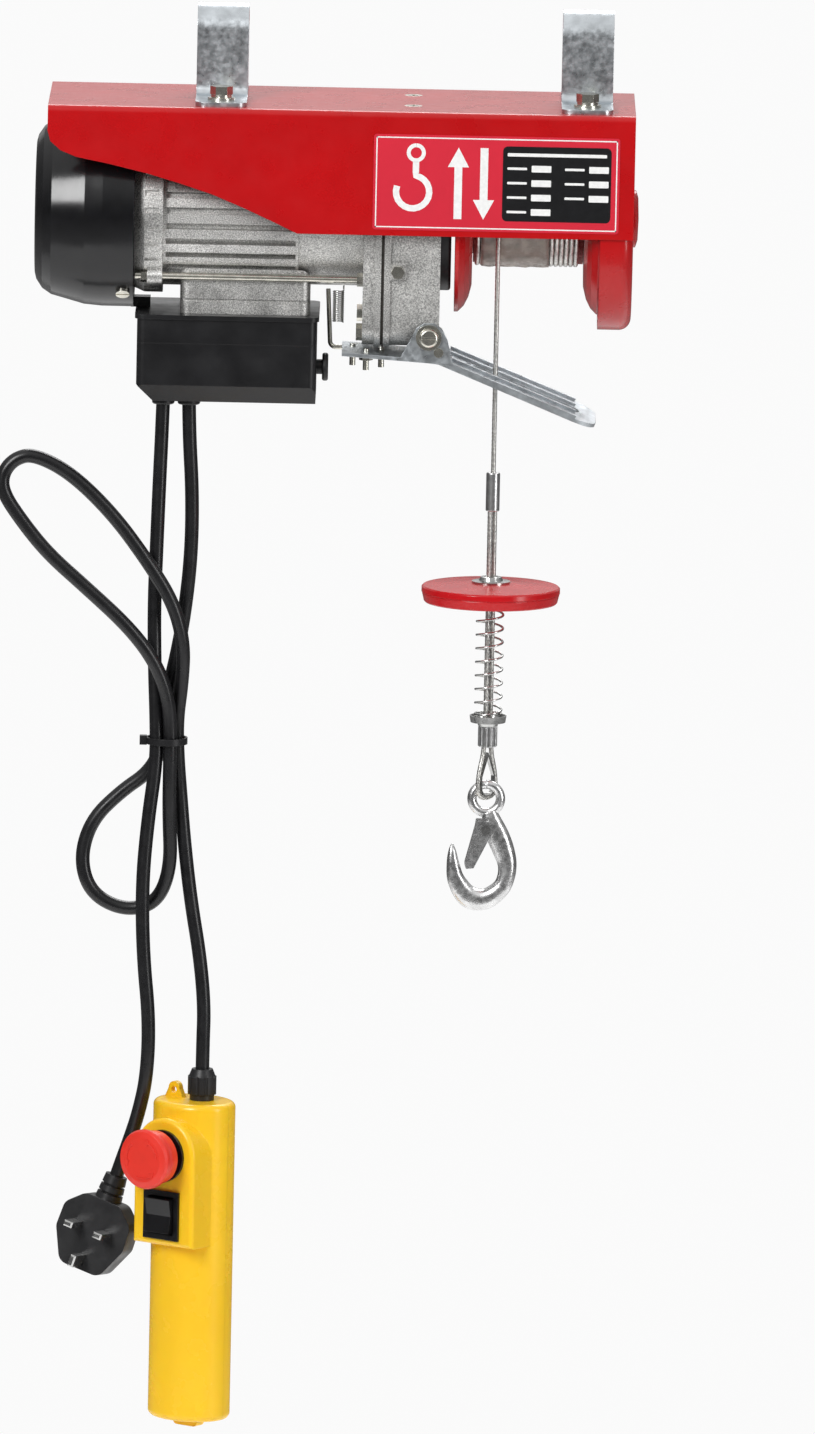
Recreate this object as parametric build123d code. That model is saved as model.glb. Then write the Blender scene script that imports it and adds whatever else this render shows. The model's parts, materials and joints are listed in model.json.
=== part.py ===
"""Small electric wire-rope hoist hung from a round bar, with mains lead and hand pendant.

Millimetres, +Z up. The origin is on the support bar's axis, midway between the two hanging
brackets. +X runs along the motor and drum axis towards the drum, and -Y is the front.
"""
from build123d import *
from math import cos, pi, radians, sin, tan
import os

# support bar and hanging brackets
BAR_R = 13.5
STRAP_T = 3.0
STRAP_W = 34.0
BRACKET_X = 121.0
FOOT_END_Y = 62.0
BRACKET_BOLT_Y = 44.0

# sheet-metal housing
TOP_Z = -46.0
SHEET = 2.0
HOUSING_X0 = -235.0
HOUSING_X1 = 153.0
HALF_DEPTH = 70.0
PANEL_Z = -128.0

# motor, gearbox and drum axis
AXIS_Z = -122.0
SHAFT_R = 6.0
RUN_GAP = 0.05
STATOR_X0, STATOR_X1 = -158.0, -25.0
STATOR_R = 50.0
CORE_R = 42.0
STUD_RING = 56.0
STUD_R = 2.5
FLANGE_X0, FLANGE_X1 = -25.0, -13.0
CASE_X0, CASE_X1 = -11.0, 26.0
CASE_HALF = 58.0
CASE_BOTTOM = -204.0
CASE_TOP = -66.0

# gears: two equal stages
MODULE = 1.25
PINION_TEETH = 10
GEAR_TEETH = 54
LAYSHAFT_Z = AXIS_Z - MODULE * (PINION_TEETH + GEAR_TEETH) / 2

# drum and rope
DRUM_SHAFT_R = 9.0
DRUM_X0, DRUM_X1 = 47.0, 121.0
DRUM_R = 25.0
WINDING_R = 33.0
FLANGE_R = 64.0
ROPE_R = 1.6
ROPE_X = 64.0
ROPE_Y = -(WINDING_R + ROPE_R + 0.3)

# control box under the motor
BOX_X0, BOX_X1 = -174.0, -55.0
BOX_HALF = 45.0
BOX_TOP, BOX_SEAM, BOX_BOTTOM = -187.0, -206.0, -246.0
WALL = 3.0
KNOB_Y, KNOB_Z = -25.0, -222.0

# limit lever
PIVOT_X, PIVOT_Z = 19.3, -196.0
LEVER_T = 2.5
LEVER_Y0, LEVER_Y1 = -65.0, -6.0
ARM_ROLL = 4.0

# hook line
FERRULE_TOP, FERRULE_END = -291.0, -315.0
DISC_TOP, DISC_BOTTOM = -363.0, -376.0
DISC_R = 46.0
SLING_OFFSET = 2.3
THIMBLE_HALF, THIMBLE_LOW, THIMBLE_T = 6.6, -505.8, 1.2
SLING_YAW = 46.0
CUP_Z, LOWER_FERRULE_Z, LOOP_Z = -452.0, -459.0, -473.0
EYE_Z = -508.0
EYE_BAR_R = 3.0
HOOK_T = 12.0
LATCH_PIVOT = (0.0, -20.0)

# cords, pendant and plug
CORD_R = 4.65
GROMMET_Z = BOX_BOTTOM - 4
TIE_X, TIE_Y, TIE_Z = -149.5, -16.75, -476.0
PENDANT_X, PENDANT_Y, PENDANT_YAW = -126.3, -18.0, 37.0
PENDANT_TOP, PENDANT_BOTTOM = -718.0, -933.0
STOP_Z, ROCKER_Z = -752.0, -792.0
HEAD_FRONT = 33.0
LUG_U, LUG_HOLE_R = -16.0, 2.2
PLUG = (-190.5, -10.0, -812.0)
PLUG_TILT, PLUG_YAW = 18.0, 22.0
PIN_PITCH = 22.2

MAINS_ROUTE = [
    (-156, -17, -244), (-156.5, -17, -268), (-157.5, -17, -301), (-158.5, -17, -342),
    (-159.5, -16, -384), (-158.5, -17, -425), (-156.5, -19.5, -463), (-156, -19.8, -490),
    (-161, -22, -530), (-164, -23, -572), (-162.5, -22, -620), (-157.5, -22, -665),
    (-158.5, -20, -703), (-163.7, -14.8, -729), (-169.5, -11, -748), (-175, -10, -764),
    (-181, -10, -782.5),
]
PENDANT_ROUTE = [
    (-139, -17, -244), (-138.5, -16, -268), (-135.5, -14, -310), (-135.5, -11, -352),
    (-139.5, -7, -394), (-145.5, -6, -428), (-152, -9, -454), (-152, -10.5, -480),
    (-160.5, -7, -499), (-179.5, -4, -513), (-199, -4, -533), (-206, -5, -559),
    (-198.5, -6, -582), (-176.5, -7, -593), (-154.5, -8, -588), (-145, -12, -563),
    (-147, -18, -525), (-147, -22.4, -492), (-147, -23, -464), (-150, -27, -441),
    (-159.5, -31, -419), (-177, -33, -397), (-205, -33, -372), (-230.5, -32.5, -350),
    (-248, -31.5, -329), (-261.5, -30.5, -309.5), (-261.5, -30, -296.7), (-253.5, -29.5, -287),
    (-241, -29, -284), (-216.5, -28.5, -296),
    (-188, -28, -323), (-164.5, -28, -354), (-146.5, -28, -382), (-139, -24, -410),
    (-140, -18, -437), (-143, -14, -462), (-142, -12.5, -488), (-139.5, -9, -515),
    (-136.5, -10, -546), (-131.5, -13, -584), (-124.5, -16, -622), (-121, -18, -655),
    (-121.5, -18, -682), (-121.5, -18, -706),
]


# ---- shapes used by many parts -------------------------------------------------------------

def block(x, y, z):
    """A box from three (low, high) pairs."""
    size = [high - low for low, high in (x, y, z)]
    middle = [(high + low) / 2 for low, high in (x, y, z)]
    return Pos(*middle) * Box(*size)


def rod_x(radius, x0, x1, y=0.0, z=AXIS_Z):
    return Pos((x0 + x1) / 2, y, z) * Rot(0, 90, 0) * Cylinder(radius, x1 - x0)


def rod_y(radius, y0, y1, x, z):
    return Pos(x, (y0 + y1) / 2, z) * Rot(90, 0, 0) * Cylinder(radius, y1 - y0)


def rod_z(radius, z0, z1, x, y):
    return Pos(x, y, (z0 + z1) / 2) * Cylinder(radius, z1 - z0)


def plate_xz(points, y0, y1):
    """A closed outline of (x, z) points, thick from y0 to y1."""
    outline = Polyline(*[(x, y0, z) for x, z in points], close=True)
    return extrude(make_face(outline), amount=y1 - y0, dir=(0, 1, 0))


def plate_yz(points, x0, x1):
    """A closed outline of (y, z) points, thick from x0 to x1."""
    outline = Polyline(*[(x0, y, z) for y, z in points], close=True)
    return extrude(make_face(outline), amount=x1 - x0, dir=(1, 0, 0))


def turned_x(points, z=AXIS_Z):
    """A solid of revolution about the line y = 0 at height z, from (x, radius) points."""
    outline = make_face(Polyline(*[(x, r, 0) for x, r in points], close=True))
    return Pos(0, 0, z) * revolve(outline, Axis.X, 360)


def turned_z(points, x, y):
    """A solid of revolution about a vertical line, from (radius, z) points."""
    outline = make_face(Polyline(*[(r, 0, z) for r, z in points], close=True))
    return Pos(x, y, 0) * revolve(outline, Axis.Z, 360)


def hex_bolt(shank_r, length, flat, head):
    """A bolt along -Z with its head standing on z = 0."""
    body = Pos(0, 0, -length / 2) * Cylinder(shank_r, length)
    cap = extrude(RegularPolygon(flat / 2 / cos(radians(30)), 6), amount=head)
    return body + cap


def together(shapes):
    return Compound(children=[solid for shape in shapes for solid in shape.solids()])


def coil(radius, wire, z_top, z_bottom, turns, x, y):
    """A vertical helical spring."""
    height = z_top - z_bottom - 2 * wire
    path = Helix(pitch=height / turns, height=height, radius=radius)
    section = Plane(origin=path @ 0, z_dir=path % 0) * Circle(wire)
    return Pos(x, y, z_bottom + wire) * sweep(section, path, is_frenet=True)


def gear(teeth, x0, x1, z, bore, phase=0.0):
    """A spur gear about the X direction at height z, with slim teeth for backlash."""
    pitch_r = MODULE * teeth / 2
    root, tip = pitch_r - 1.25 * MODULE, pitch_r + 0.9 * MODULE
    step = 2 * pi / teeth
    points = []
    for k in range(teeth):
        centre = k * step + radians(phase)
        for radius, share in ((root, -0.27), (tip, -0.10), (tip, 0.10), (root, 0.27)):
            angle = centre + share * step
            points.append((radius * cos(angle), z + radius * sin(angle)))
    wheel = plate_yz(points, x0, x1)
    if bore:
        wheel -= rod_x(bore, x0 - 1, x1 + 1, z=z)
    return wheel


# ---- cords ----------------------------------------------------------------------------------

def corner_radii(route):
    """An arc for each corner, as large as its two runs allow."""
    points = [Vector(*p) for p in route]
    radii = []
    for a, b, c in zip(points, points[1:], points[2:]):
        turn = radians((b - a).get_angle(c - b))
        radii.append(0.45 * min((b - a).length, (c - b).length) / tan(turn / 2))
    return radii


def cord(route):
    radii = corner_radii(route)
    path = FilletPolyline(*route, radius=radii)
    section = Plane(origin=path @ 0, z_dir=path % 0) * Circle(CORD_R)
    tube = sweep(section, path)
    expected = pi * CORD_R ** 2 * path.length
    print("cord", round(path.length), "mm, tightest arc", round(min(radii)), "mm, volume share",
          round(tube.volume / expected, 3))
    return tube


# ---- hanging brackets and housing -----------------------------------------------------------

def hanging_bracket(x):
    """Strap bent over the bar, down both sides and out into two feet."""
    outer = BAR_R + STRAP_T
    half_w = STRAP_W / 2
    foot_top = TOP_Z + STRAP_T
    strap = rod_x(outer, x - half_w, x + half_w, z=0)
    strap += block((x - half_w, x + half_w), (-outer, outer), (TOP_Z, 0))
    strap -= rod_x(BAR_R, x - half_w - 1, x + half_w + 1, z=0)
    strap -= block((x - half_w - 1, x + half_w + 1), (-BAR_R, BAR_R), (TOP_Z - 1, 0))
    for side in (-1, 1):
        ends = sorted((side * (outer - 1), side * FOOT_END_Y))
        foot = block((x - half_w, x + half_w), ends, (TOP_Z, foot_top))
        tip_edges = foot.edges().filter_by(Axis.Z).filter_by(lambda e: abs(e.center().Y) > 50)
        strap += fillet(tip_edges, 7)
        bend = block((x - half_w, x + half_w), sorted((side * outer, side * (outer + 6))),
                     (foot_top, foot_top + 6))
        bend -= rod_x(6, x - half_w, x + half_w, y=side * (outer + 6), z=foot_top + 6)
        strap += bend
    return strap


def bracket_fasteners():
    """Four hex bolts, each with a spring washer, a flat washer and a nut inside the housing."""
    pieces = []
    foot_top = TOP_Z + STRAP_T
    for x in (-BRACKET_X, BRACKET_X):
        for y in (-BRACKET_BOLT_Y, BRACKET_BOLT_Y):
            flat = Pos(x, y, foot_top + 0.8) * (Cylinder(9, 1.6) - Cylinder(4, 1.6))
            ring = Pos(x, y, foot_top + 2.6) * (Cylinder(7, 2) - Cylinder(4, 2))
            bolt = Pos(x, y, foot_top + 3.6) * hex_bolt(4, 18, 13, 5.5)
            nut = Pos(x, y, TOP_Z - SHEET - 6) * extrude(
                RegularPolygon(7.5, 6) - Circle(4), amount=6)
            pieces += [flat, ring, bolt, nut]
    return pieces


def side_outline():
    """Side panel: deep over the drum, cut away in a sweep over the motor."""
    return [
        (HOUSING_X0, TOP_Z), (HOUSING_X1, TOP_Z), (HOUSING_X1, PANEL_Z), (-69, PANEL_Z),
        (-84, -121), (-104, -112), (-126, -103), (-148, -96), (-169, -90), (-195, -84),
        (-216, -80), (-226, -76), (-233, -70), (HOUSING_X0, -63),
    ]


def housing_shell():
    """Folded channel: a top plate and two side panels, open below."""
    shell = plate_xz(side_outline(), -HALF_DEPTH, HALF_DEPTH)
    fold = shell.edges().filter_by(Axis.X).filter_by(
        lambda e: abs(e.center().Z - TOP_Z) < 0.1 and abs(e.center().Y) > HALF_DEPTH - 1)
    shell = fillet(fold, 4)
    inner = HALF_DEPTH - SHEET
    hollow = block((HOUSING_X0 - 1, HOUSING_X1 + 1), (-inner, inner), (-200, TOP_Z - SHEET))
    rims = hollow.edges().filter_by(Axis.X).filter_by(lambda e: e.center().Z > -100)
    return shell - fillet(rims, 2)


def end_bracket():
    """Pressed end plate with a deep rolled rim, which hangs below the side panels."""
    half = HALF_DEPTH - SHEET
    plate_x0, rim_x0 = HOUSING_X1 - SHEET, HOUSING_X1 - 22
    centre_z = AXIS_Z - 6

    def solid(radius, x0, x1, top):
        body = rod_x(radius, x0, x1, z=centre_z)
        return body + block((x0, x1), (-radius, radius), (centre_z, top))

    pan = solid(half, rim_x0, HOUSING_X1, TOP_Z - SHEET - 2.5)
    rim = pan.edges().filter_by(lambda e: abs(e.center().X - HOUSING_X1) < 0.1)
    pan = fillet(rim, 8)
    hollow = solid(half - SHEET, rim_x0 - 1, plate_x0, TOP_Z)
    corner = hollow.edges().filter_by(lambda e: abs(e.center().X - plate_x0) < 0.1)
    pan -= fillet(corner, 6)
    boss = rod_x(20, plate_x0 - 12, plate_x0)
    return (pan + boss) - rod_x(16, plate_x0 - 13, HOUSING_X1 + 1)


def rating_label():
    """Thin plate on the front panel."""
    plate = block((-19.5, 143), (-HALF_DEPTH - 0.5, -HALF_DEPTH), (-124, -60.5))
    return fillet(plate.edges().filter_by(Axis.Y), 2)


# ---- motor -----------------------------------------------------------------------------------

def fan_cover():
    """Plastic cup over the cooling fan, with a domed and slotted end."""
    outside = [(-177, 0), (-177, 65), (-198, 65), (-210, 64), (-232, 58), (-238, 54),
               (-242, 48), (-243, 44), (-243, 0)]
    inside = [(-176, 0), (-176, 62.5), (-198, 62.5), (-210, 61.5), (-231, 55.5), (-236, 51),
              (-239.3, 45.5), (-240, 43), (-240, 0)]
    cup = turned_x(outside) - turned_x(inside)
    for ring in (12, 20, 28, 36):
        slots = turned_x([(-250, ring), (-250, ring + 5), (-230, ring + 5), (-230, ring)])
        for angle in (0, 45, 90, 135):
            bar = Pos(0, 0, AXIS_Z) * Rot(angle, 0, 0) * Pos(-240, 0, 0) * Box(40, 6, 130)
            slots -= bar
        cup -= slots
    lug = block((-179, -166), (-6, 6), (AXIS_Z - 65, AXIS_Z - 58))
    return cup + (lug - rod_x(58.5, -180, -160))


def cover_screws():
    """Four pan-head screws through the fan cover's rim into the rear end bell."""
    pieces = []
    for angle in (51, 129, 231, 309):
        place = Pos(-184, 0, AXIS_Z) * Rot(angle - 90, 0, 0) * Pos(0, 0, 65)
        head = Pos(0, 0, 1.2) * Cylinder(4.6, 2.4)
        head -= Pos(0, 0, 2.2) * Box(9.2, 1.1, 1)
        pieces.append(place * (head + Pos(0, 0, -3) * Cylinder(2, 6)))
    return pieces


def cooling_fan():
    """Nine straight blades on a hub."""
    fan = rod_x(13, -226, -192)
    for k in range(9):
        blade = Pos(-209, 0, AXIS_Z) * Rot(k * 40, 0, 0) * Pos(0, 0, 29) * Box(30, 2.4, 34)
        fan += blade
    return fan - rod_x(SHAFT_R, -240, -180)


def rear_end_bell():
    """Cast end shield with a bearing seat and four stud bosses."""
    bell = turned_x([(-177, 0), (-177, 52), (-170, 55), (STATOR_X0, 55), (STATOR_X0, CORE_R),
                     (-166, CORE_R), (-166, 20), (-162, 20), (-162, 0)])
    for k in range(30):
        bell -= Pos(-165.5, 0, AXIS_Z) * Rot(k * 12, 0, 0) * Pos(0, 0, 55) * Box(9, 3.2, 3)
    for y, z in stud_centres():
        bell += rod_x(6, -168, STATOR_X0, y=y, z=z)
    return bell - rod_x(16, -172, -160) - rod_x(SHAFT_R + 1, -180, -160)


def stator_housing():
    """Finned aluminium barrel."""
    barrel = rod_x(STATOR_R, STATOR_X0, -68) + rod_x(48, -68, STATOR_X1)
    for k in range(30):
        groove = Pos(-113, 0, AXIS_Z) * Rot(k * 12, 0, 0) * Pos(0, 0, STATOR_R) * Box(86, 4, 9)
        barrel -= groove
    return barrel - rod_x(CORE_R, STATOR_X0 - 1, STATOR_X1 + 1)


def motor_foot():
    """Cast pedestal between the motor barrel and the control box."""
    foot = block((-146, -60), (-36, 36), (BOX_TOP, AXIS_Z - 20))
    foot = fillet(foot.edges().filter_by(Axis.Z), 6)
    seam = block((-148, -58), (-38, 38), (-178.5, -177))
    seam -= block((-144.5, -61.5), (-34.5, 34.5), (-180, -175))
    return foot - rod_x(STATOR_R, -150, -50) - seam


def stator_windings():
    rings = [(-153, -141), (-59, -46)]
    return [fillet((rod_x(40, a, b) - rod_x(28, a, b)).edges(), 3) for a, b in rings]


def stator_core():
    core = rod_x(CORE_R, -140, -60)
    return core - rod_x(26, -141, -59)


def motor_shaft():
    """Stepped rotor shaft with the input pinion cut on its end."""
    shaft = rod_x(SHAFT_R, -232, -10.5) + rod_x(10, -158, -44)
    shaft -= rod_x(12, -10.5, 1)
    return shaft + gear(PINION_TEETH, -10.5, 0, AXIS_Z, 0, phase=90)


def rotor_core():
    return rod_x(25.4, -140, -60) - rod_x(10, -141, -59)


def bearing(x0, x1, inner, outer):
    """Two races with a closed ball row, drawn as one ring with shield grooves."""
    ring = rod_x(outer, x0, x1) - rod_x(inner + RUN_GAP, x0 - 1, x1 + 1)
    middle = (inner + outer) / 2
    for a, b in ((x0 - 1, x0 + 0.6), (x1 - 0.6, x1 + 1)):
        ring -= rod_x(middle + 2, a, b) - rod_x(middle - 2, a, b)
    return ring


def stud_centres():
    reach = STUD_RING * cos(radians(45))
    return [(y, AXIS_Z + z) for y in (-reach, reach) for z in (-reach, reach)]


def motor_studs():
    """Long studs that clamp the barrel between its end shields, with nuts at both ends."""
    pieces = []
    for y, z in stud_centres():
        stud = rod_x(STUD_R, -176, -18, y=y, z=z)
        nut_a = Pos(-168, y, z) * Rot(0, -90, 0) * extrude(RegularPolygon(4.6, 6), amount=4)
        nut_b = Pos(-25, y, z) * Rot(0, -90, 0) * extrude(RegularPolygon(4.6, 6), amount=4)
        pieces.append(stud + nut_a + nut_b)
    return pieces


# ---- gearbox ---------------------------------------------------------------------------------

def case_block(x0, x1, half, bottom, top, radius):
    body = block((x0, x1), (-half, half), (bottom, top))
    return fillet(body.edges().filter_by(Axis.X), radius)


def corner_bolt_centres():
    return [(y, z) for y in (-50, 50) for z in (-75, -195)]


def gearbox_bolts():
    """Corner bolts along X, two countersunk screws from the top plate, and an oil plug."""
    pieces = []
    for y, z in corner_bolt_centres():
        pieces.append(Pos(FLANGE_X0, y, z) * Rot(0, -90, 0) * hex_bolt(3, 34, 10, 4))
    for y in (-30, 30):
        screw = turned_z([(0, TOP_Z), (6, TOP_Z), (3.0, TOP_Z - 3), (3.0, TOP_Z - 16),
                          (0, TOP_Z - 16)], 6, y)
        pieces.append(screw)
    plug = Pos(CASE_X0 + 9, -CASE_HALF - 2.5, -153.5) * Rot(90, 0, 0) * hex_bolt(3, 5, 8, 3.5)
    pieces.append(plug)
    return pieces


def screw_recesses():
    """Cross recesses in the two top screws, opened through the sheet as well."""
    cuts = []
    for y in (-30, 30):
        cuts.append(Pos(6, y, TOP_Z - 0.6) * (Box(7, 1.4, 1.4) + Box(1.4, 7, 1.4)))
    return together(cuts)


def front_flange():
    """Motor end shield that closes the gearbox, with seats for the shafts."""
    plate = case_block(FLANGE_X0, FLANGE_X1, CASE_HALF, CASE_BOTTOM, CASE_TOP, 14)
    plate += case_block(FLANGE_X1 - 4, FLANGE_X1, CASE_HALF + 2, CASE_BOTTOM - 1.5, CASE_TOP, 15)
    plate -= rod_x(16, FLANGE_X1 - 9, FLANGE_X1 + 1)
    plate -= rod_x(SHAFT_R + 1, FLANGE_X0 - 1, FLANGE_X1)
    plate -= rod_x(SHAFT_R + RUN_GAP, FLANGE_X1 - 8, FLANGE_X1 + 1, z=LAYSHAFT_Z)
    return plate


def flange_gasket():
    ring = case_block(FLANGE_X1, CASE_X0, CASE_HALF, CASE_BOTTOM, CASE_TOP, 14)
    return ring - case_block(FLANGE_X1 - 1, CASE_X0 + 1, CASE_HALF - 6, CASE_BOTTOM + 4,
                             CASE_TOP - 6, 12)


def gearbox_case():
    """Cast case, open towards the motor, with a mounting pad up to the top plate."""
    case = case_block(CASE_X0, CASE_X1, CASE_HALF, CASE_BOTTOM, CASE_TOP, 14)
    case += case_block(CASE_X0, CASE_X0 + 4, CASE_HALF + 2, CASE_BOTTOM - 1.5, CASE_TOP, 15)
    case += block((-6, 20), (-42, 42), (CASE_TOP - 2, TOP_Z - SHEET))
    case += block((CASE_X0 + 4, CASE_X0 + 14), (-CASE_HALF - 2.5, -CASE_HALF), (-158.5, -148.5))
    cavity = case_block(CASE_X0 - 1, CASE_X1 - 6, CASE_HALF - 6, CASE_BOTTOM + 4,
                        CASE_TOP - 6, 12)
    case -= cavity
    for y, z in corner_bolt_centres():
        case += rod_x(6, CASE_X0, CASE_X1 - 6, y=y, z=z)
    case -= rod_x(DRUM_SHAFT_R + 1, CASE_X1 - 7, CASE_X1 + 1)
    return case - rod_x(SHAFT_R + RUN_GAP, CASE_X1 - 7, CASE_X1 - 2, z=LAYSHAFT_Z)


def layshaft_gear():
    """Intermediate shaft with its wheel and its own pinion."""
    shaft = rod_x(SHAFT_R, FLANGE_X1 - 7.7, -9.3, z=LAYSHAFT_Z)
    shaft += gear(GEAR_TEETH, -9.3, -1.3, LAYSHAFT_Z, 0, phase=90 + 180 / GEAR_TEETH)
    shaft += rod_x(4.6, -1.3, 3, z=LAYSHAFT_Z)
    shaft += gear(PINION_TEETH, 2.5, 17.5, LAYSHAFT_Z, 0, phase=90)
    return shaft + rod_x(SHAFT_R, 17.5, CASE_X1 - 2.3, z=LAYSHAFT_Z)


def drum_gear():
    return gear(GEAR_TEETH, 4, 16, AXIS_Z, DRUM_SHAFT_R, phase=-90 + 180 / GEAR_TEETH)


def bearing_collar():
    """Dark plate that carries the drum's inner bearing on the gearbox."""
    plate = rod_x(50, CASE_X1, CASE_X1 + 7)
    plate = fillet(plate.edges().filter_by(lambda e: e.center().X > CASE_X1 + 6), 2)
    return plate - rod_x(16, CASE_X1 - 1, CASE_X1 + 8)


# ---- drum ------------------------------------------------------------------------------------

def drum_shaft():
    return rod_x(DRUM_SHAFT_R, 3, HOUSING_X1 - SHEET - 0.5)


def drum_core():
    return rod_x(DRUM_R, DRUM_X0, DRUM_X1) - rod_x(DRUM_SHAFT_R, DRUM_X0 - 1, DRUM_X1 + 1)


def drum_flange(hub_x, away):
    """Dished disc: flat at the hub, flared away from the rope, with a turned rim."""
    curve = [(0, 46), (2, 54), (5, 60), (9, FLANGE_R)]
    outside = [(hub_x, DRUM_SHAFT_R)] + [(hub_x + away * x, r) for x, r in curve]
    inside = [(hub_x + away * (x + 2.5), r - 1) for x, r in reversed(curve[:3])]
    rim = (hub_x + away * 11.5, FLANGE_R)
    return turned_x(outside + [rim] + inside + [(hub_x + away * 2.5, DRUM_SHAFT_R)])


def rope_winding():
    return rod_x(WINDING_R, DRUM_X0, DRUM_X1) - rod_x(DRUM_R, DRUM_X0 - 1, DRUM_X1 + 1)


# ---- hook line -------------------------------------------------------------------------------

def hoist_rope():
    return rod_z(ROPE_R, FERRULE_TOP, AXIS_Z, ROPE_X, ROPE_Y)


def sling_plane():
    """Upright plane of the eye loop: its X is level and its Y points up."""
    level = (cos(radians(SLING_YAW)), sin(radians(SLING_YAW)), 0)
    return Plane(origin=(ROPE_X, ROPE_Y, 0), x_dir=level,
                 z_dir=(sin(radians(SLING_YAW)), -cos(radians(SLING_YAW)), 0))


def rope_sling():
    """Doubled rope from the upper ferrule to the thimble eye."""
    plane = sling_plane()
    a = SLING_OFFSET
    b, low = THIMBLE_HALF + 0.1 + ROPE_R, THIMBLE_LOW - 0.1 - ROPE_R
    loop = [(-a, FERRULE_END), (-a, LOOP_Z - 1), (-b, -492), (-b, low), (b, low),
            (b, -492), (a, LOOP_Z - 1), (a, FERRULE_END)]
    route = [plane.from_local_coords(Vector(h, z, 0)) for h, z in loop]
    path = FilletPolyline(*route, radius=[12, 12, 7.4, 7.4, 12, 12])
    section = Plane(origin=path @ 0, z_dir=path % 0) * Circle(ROPE_R)
    return sweep(section, path)


def thimble():
    """Teardrop channel that the rope eye lies round."""
    def teardrop(inset):
        half, low = THIMBLE_HALF - inset, THIMBLE_LOW + inset
        points = [(0, -477 - 2.2 * inset), (-half, -493), (-half, low), (half, low), (half, -493)]
        face = make_face(Polyline(*points, close=True))
        corners = face.vertices().sort_by(Axis.Y)[:2]
        return fillet(corners, 5.4 - inset)

    ring = sling_plane() * (teardrop(0) - teardrop(THIMBLE_T))
    return extrude(ring, amount=1.3, both=True)


def upper_ferrule():
    sleeve = rod_z(4.6, FERRULE_END, FERRULE_TOP + 2, ROPE_X, ROPE_Y)
    return fillet(sleeve.edges(), 1) - hoist_rope()


def lower_ferrule():
    """Pressed sleeve with flutes."""
    sleeve = rod_z(6.5, LOOP_Z, LOWER_FERRULE_Z, ROPE_X, ROPE_Y)
    sleeve = chamfer(sleeve.edges(), 0.8)
    for k in range(12):
        angle = radians(30 * k)
        sleeve -= rod_z(1.1, LOOP_Z - 1, LOWER_FERRULE_Z + 1, ROPE_X + 6.8 * cos(angle),
                        ROPE_Y + 6.8 * sin(angle))
    return sleeve


def stop_disc():
    """Plastic disc that lifts the limit lever."""
    profile = [(4.3, DISC_TOP), (17, DISC_TOP), (45, DISC_TOP - 2), (DISC_R, DISC_TOP - 3),
               (DISC_R, DISC_TOP - 6.2), (DISC_R - 0.7, DISC_TOP - 6.6),
               (DISC_R - 0.4, DISC_TOP - 7.2), (DISC_R - 1.6, DISC_BOTTOM + 0.8),
               (DISC_R - 2.4, DISC_BOTTOM), (4.3, DISC_BOTTOM)]
    return turned_z(profile, ROPE_X, ROPE_Y)


def disc_washer():
    """Flanged steel eyelet on top of the disc."""
    profile = [(4.3, DISC_TOP), (12.8, DISC_TOP), (12.8, DISC_TOP + 1.3), (8, DISC_TOP + 1.6),
               (7, DISC_TOP + 4), (5.2, DISC_TOP + 4.4), (4.3, DISC_TOP + 3.6)]
    return turned_z(profile, ROPE_X, ROPE_Y)


def spring_cup():
    """Dished washer under the buffer spring."""
    profile = [(4.3, CUP_Z - 3), (10, CUP_Z - 3), (11.2, CUP_Z), (12.3, CUP_Z), (11.6, CUP_Z - 4.5),
               (7, CUP_Z - 5), (6.5, CUP_Z - 7), (4.3, CUP_Z - 7)]
    return turned_z(profile, ROPE_X, ROPE_Y)


def at_hook(points):
    return [(ROPE_X + u, EYE_Z + w) for u, w in points]


def hook():
    """Forged hook with a round eye."""
    outline = at_hook([
        (7, -7), (9, -12), (13, -20), (17.8, -29), (20.7, -40), (19.6, -51.6), (15, -61.6),
        (8.4, -69.4), (0.7, -74), (-7, -76), (-13.8, -73.6), (-19.3, -67), (-23.8, -56),
        (-25.3, -45), (-24.4, -36), (-22.2, -31), (-19.6, -35), (-17.4, -43.8), (-13.8, -53),
        (-8.2, -59.3), (-1.5, -61.6), (5.1, -59.3), (8.8, -53.8), (9.8, -47), (8.4, -38),
        (4.5, -29), (-1, -25.5), (-4.6, -21), (-5, -14), (-4, -8)])
    y0 = ROPE_Y - HOOK_T / 2
    curve = Spline(*[(x, y0, z) for x, z in outline], periodic=True)
    body = extrude(make_face(curve), amount=HOOK_T, dir=(0, 1, 0))
    eye = Pos(ROPE_X, ROPE_Y, EYE_Z) * Rot(90, 0, 0) * Torus(9.5, EYE_BAR_R)
    body -= rod_y(9.5, -60, 0, ROPE_X, EYE_Z)
    u, w = LATCH_PIVOT
    return (body + eye) - rod_y(2, -60, 0, ROPE_X + u, EYE_Z + w)


def hook_latch():
    """Folded sheet safety latch that straddles the shank."""
    cheek = at_hook([(-6.5, -14.5), (1.5, -14.5), (4.8, -18), (4, -23), (-7.5, -46), (-12.5, -46.5),
                     (-13.6, -43.5), (-7.2, -19)])
    web = at_hook([(-8.6, -24.5), (-7.5, -24.8), (-12.4, -43.2), (-13.6, -43.5)])
    inner, outer = HOOK_T / 2 + 0.5, HOOK_T / 2 + 1.7
    latch = plate_xz(web, ROPE_Y - outer, ROPE_Y + outer)
    for side in (-1, 1):
        ends = sorted((ROPE_Y + side * inner, ROPE_Y + side * outer))
        latch += plate_xz(cheek, *ends)
    u, w = LATCH_PIVOT
    return latch - rod_y(2 + RUN_GAP, -60, 0, ROPE_X + u, EYE_Z + w)


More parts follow.
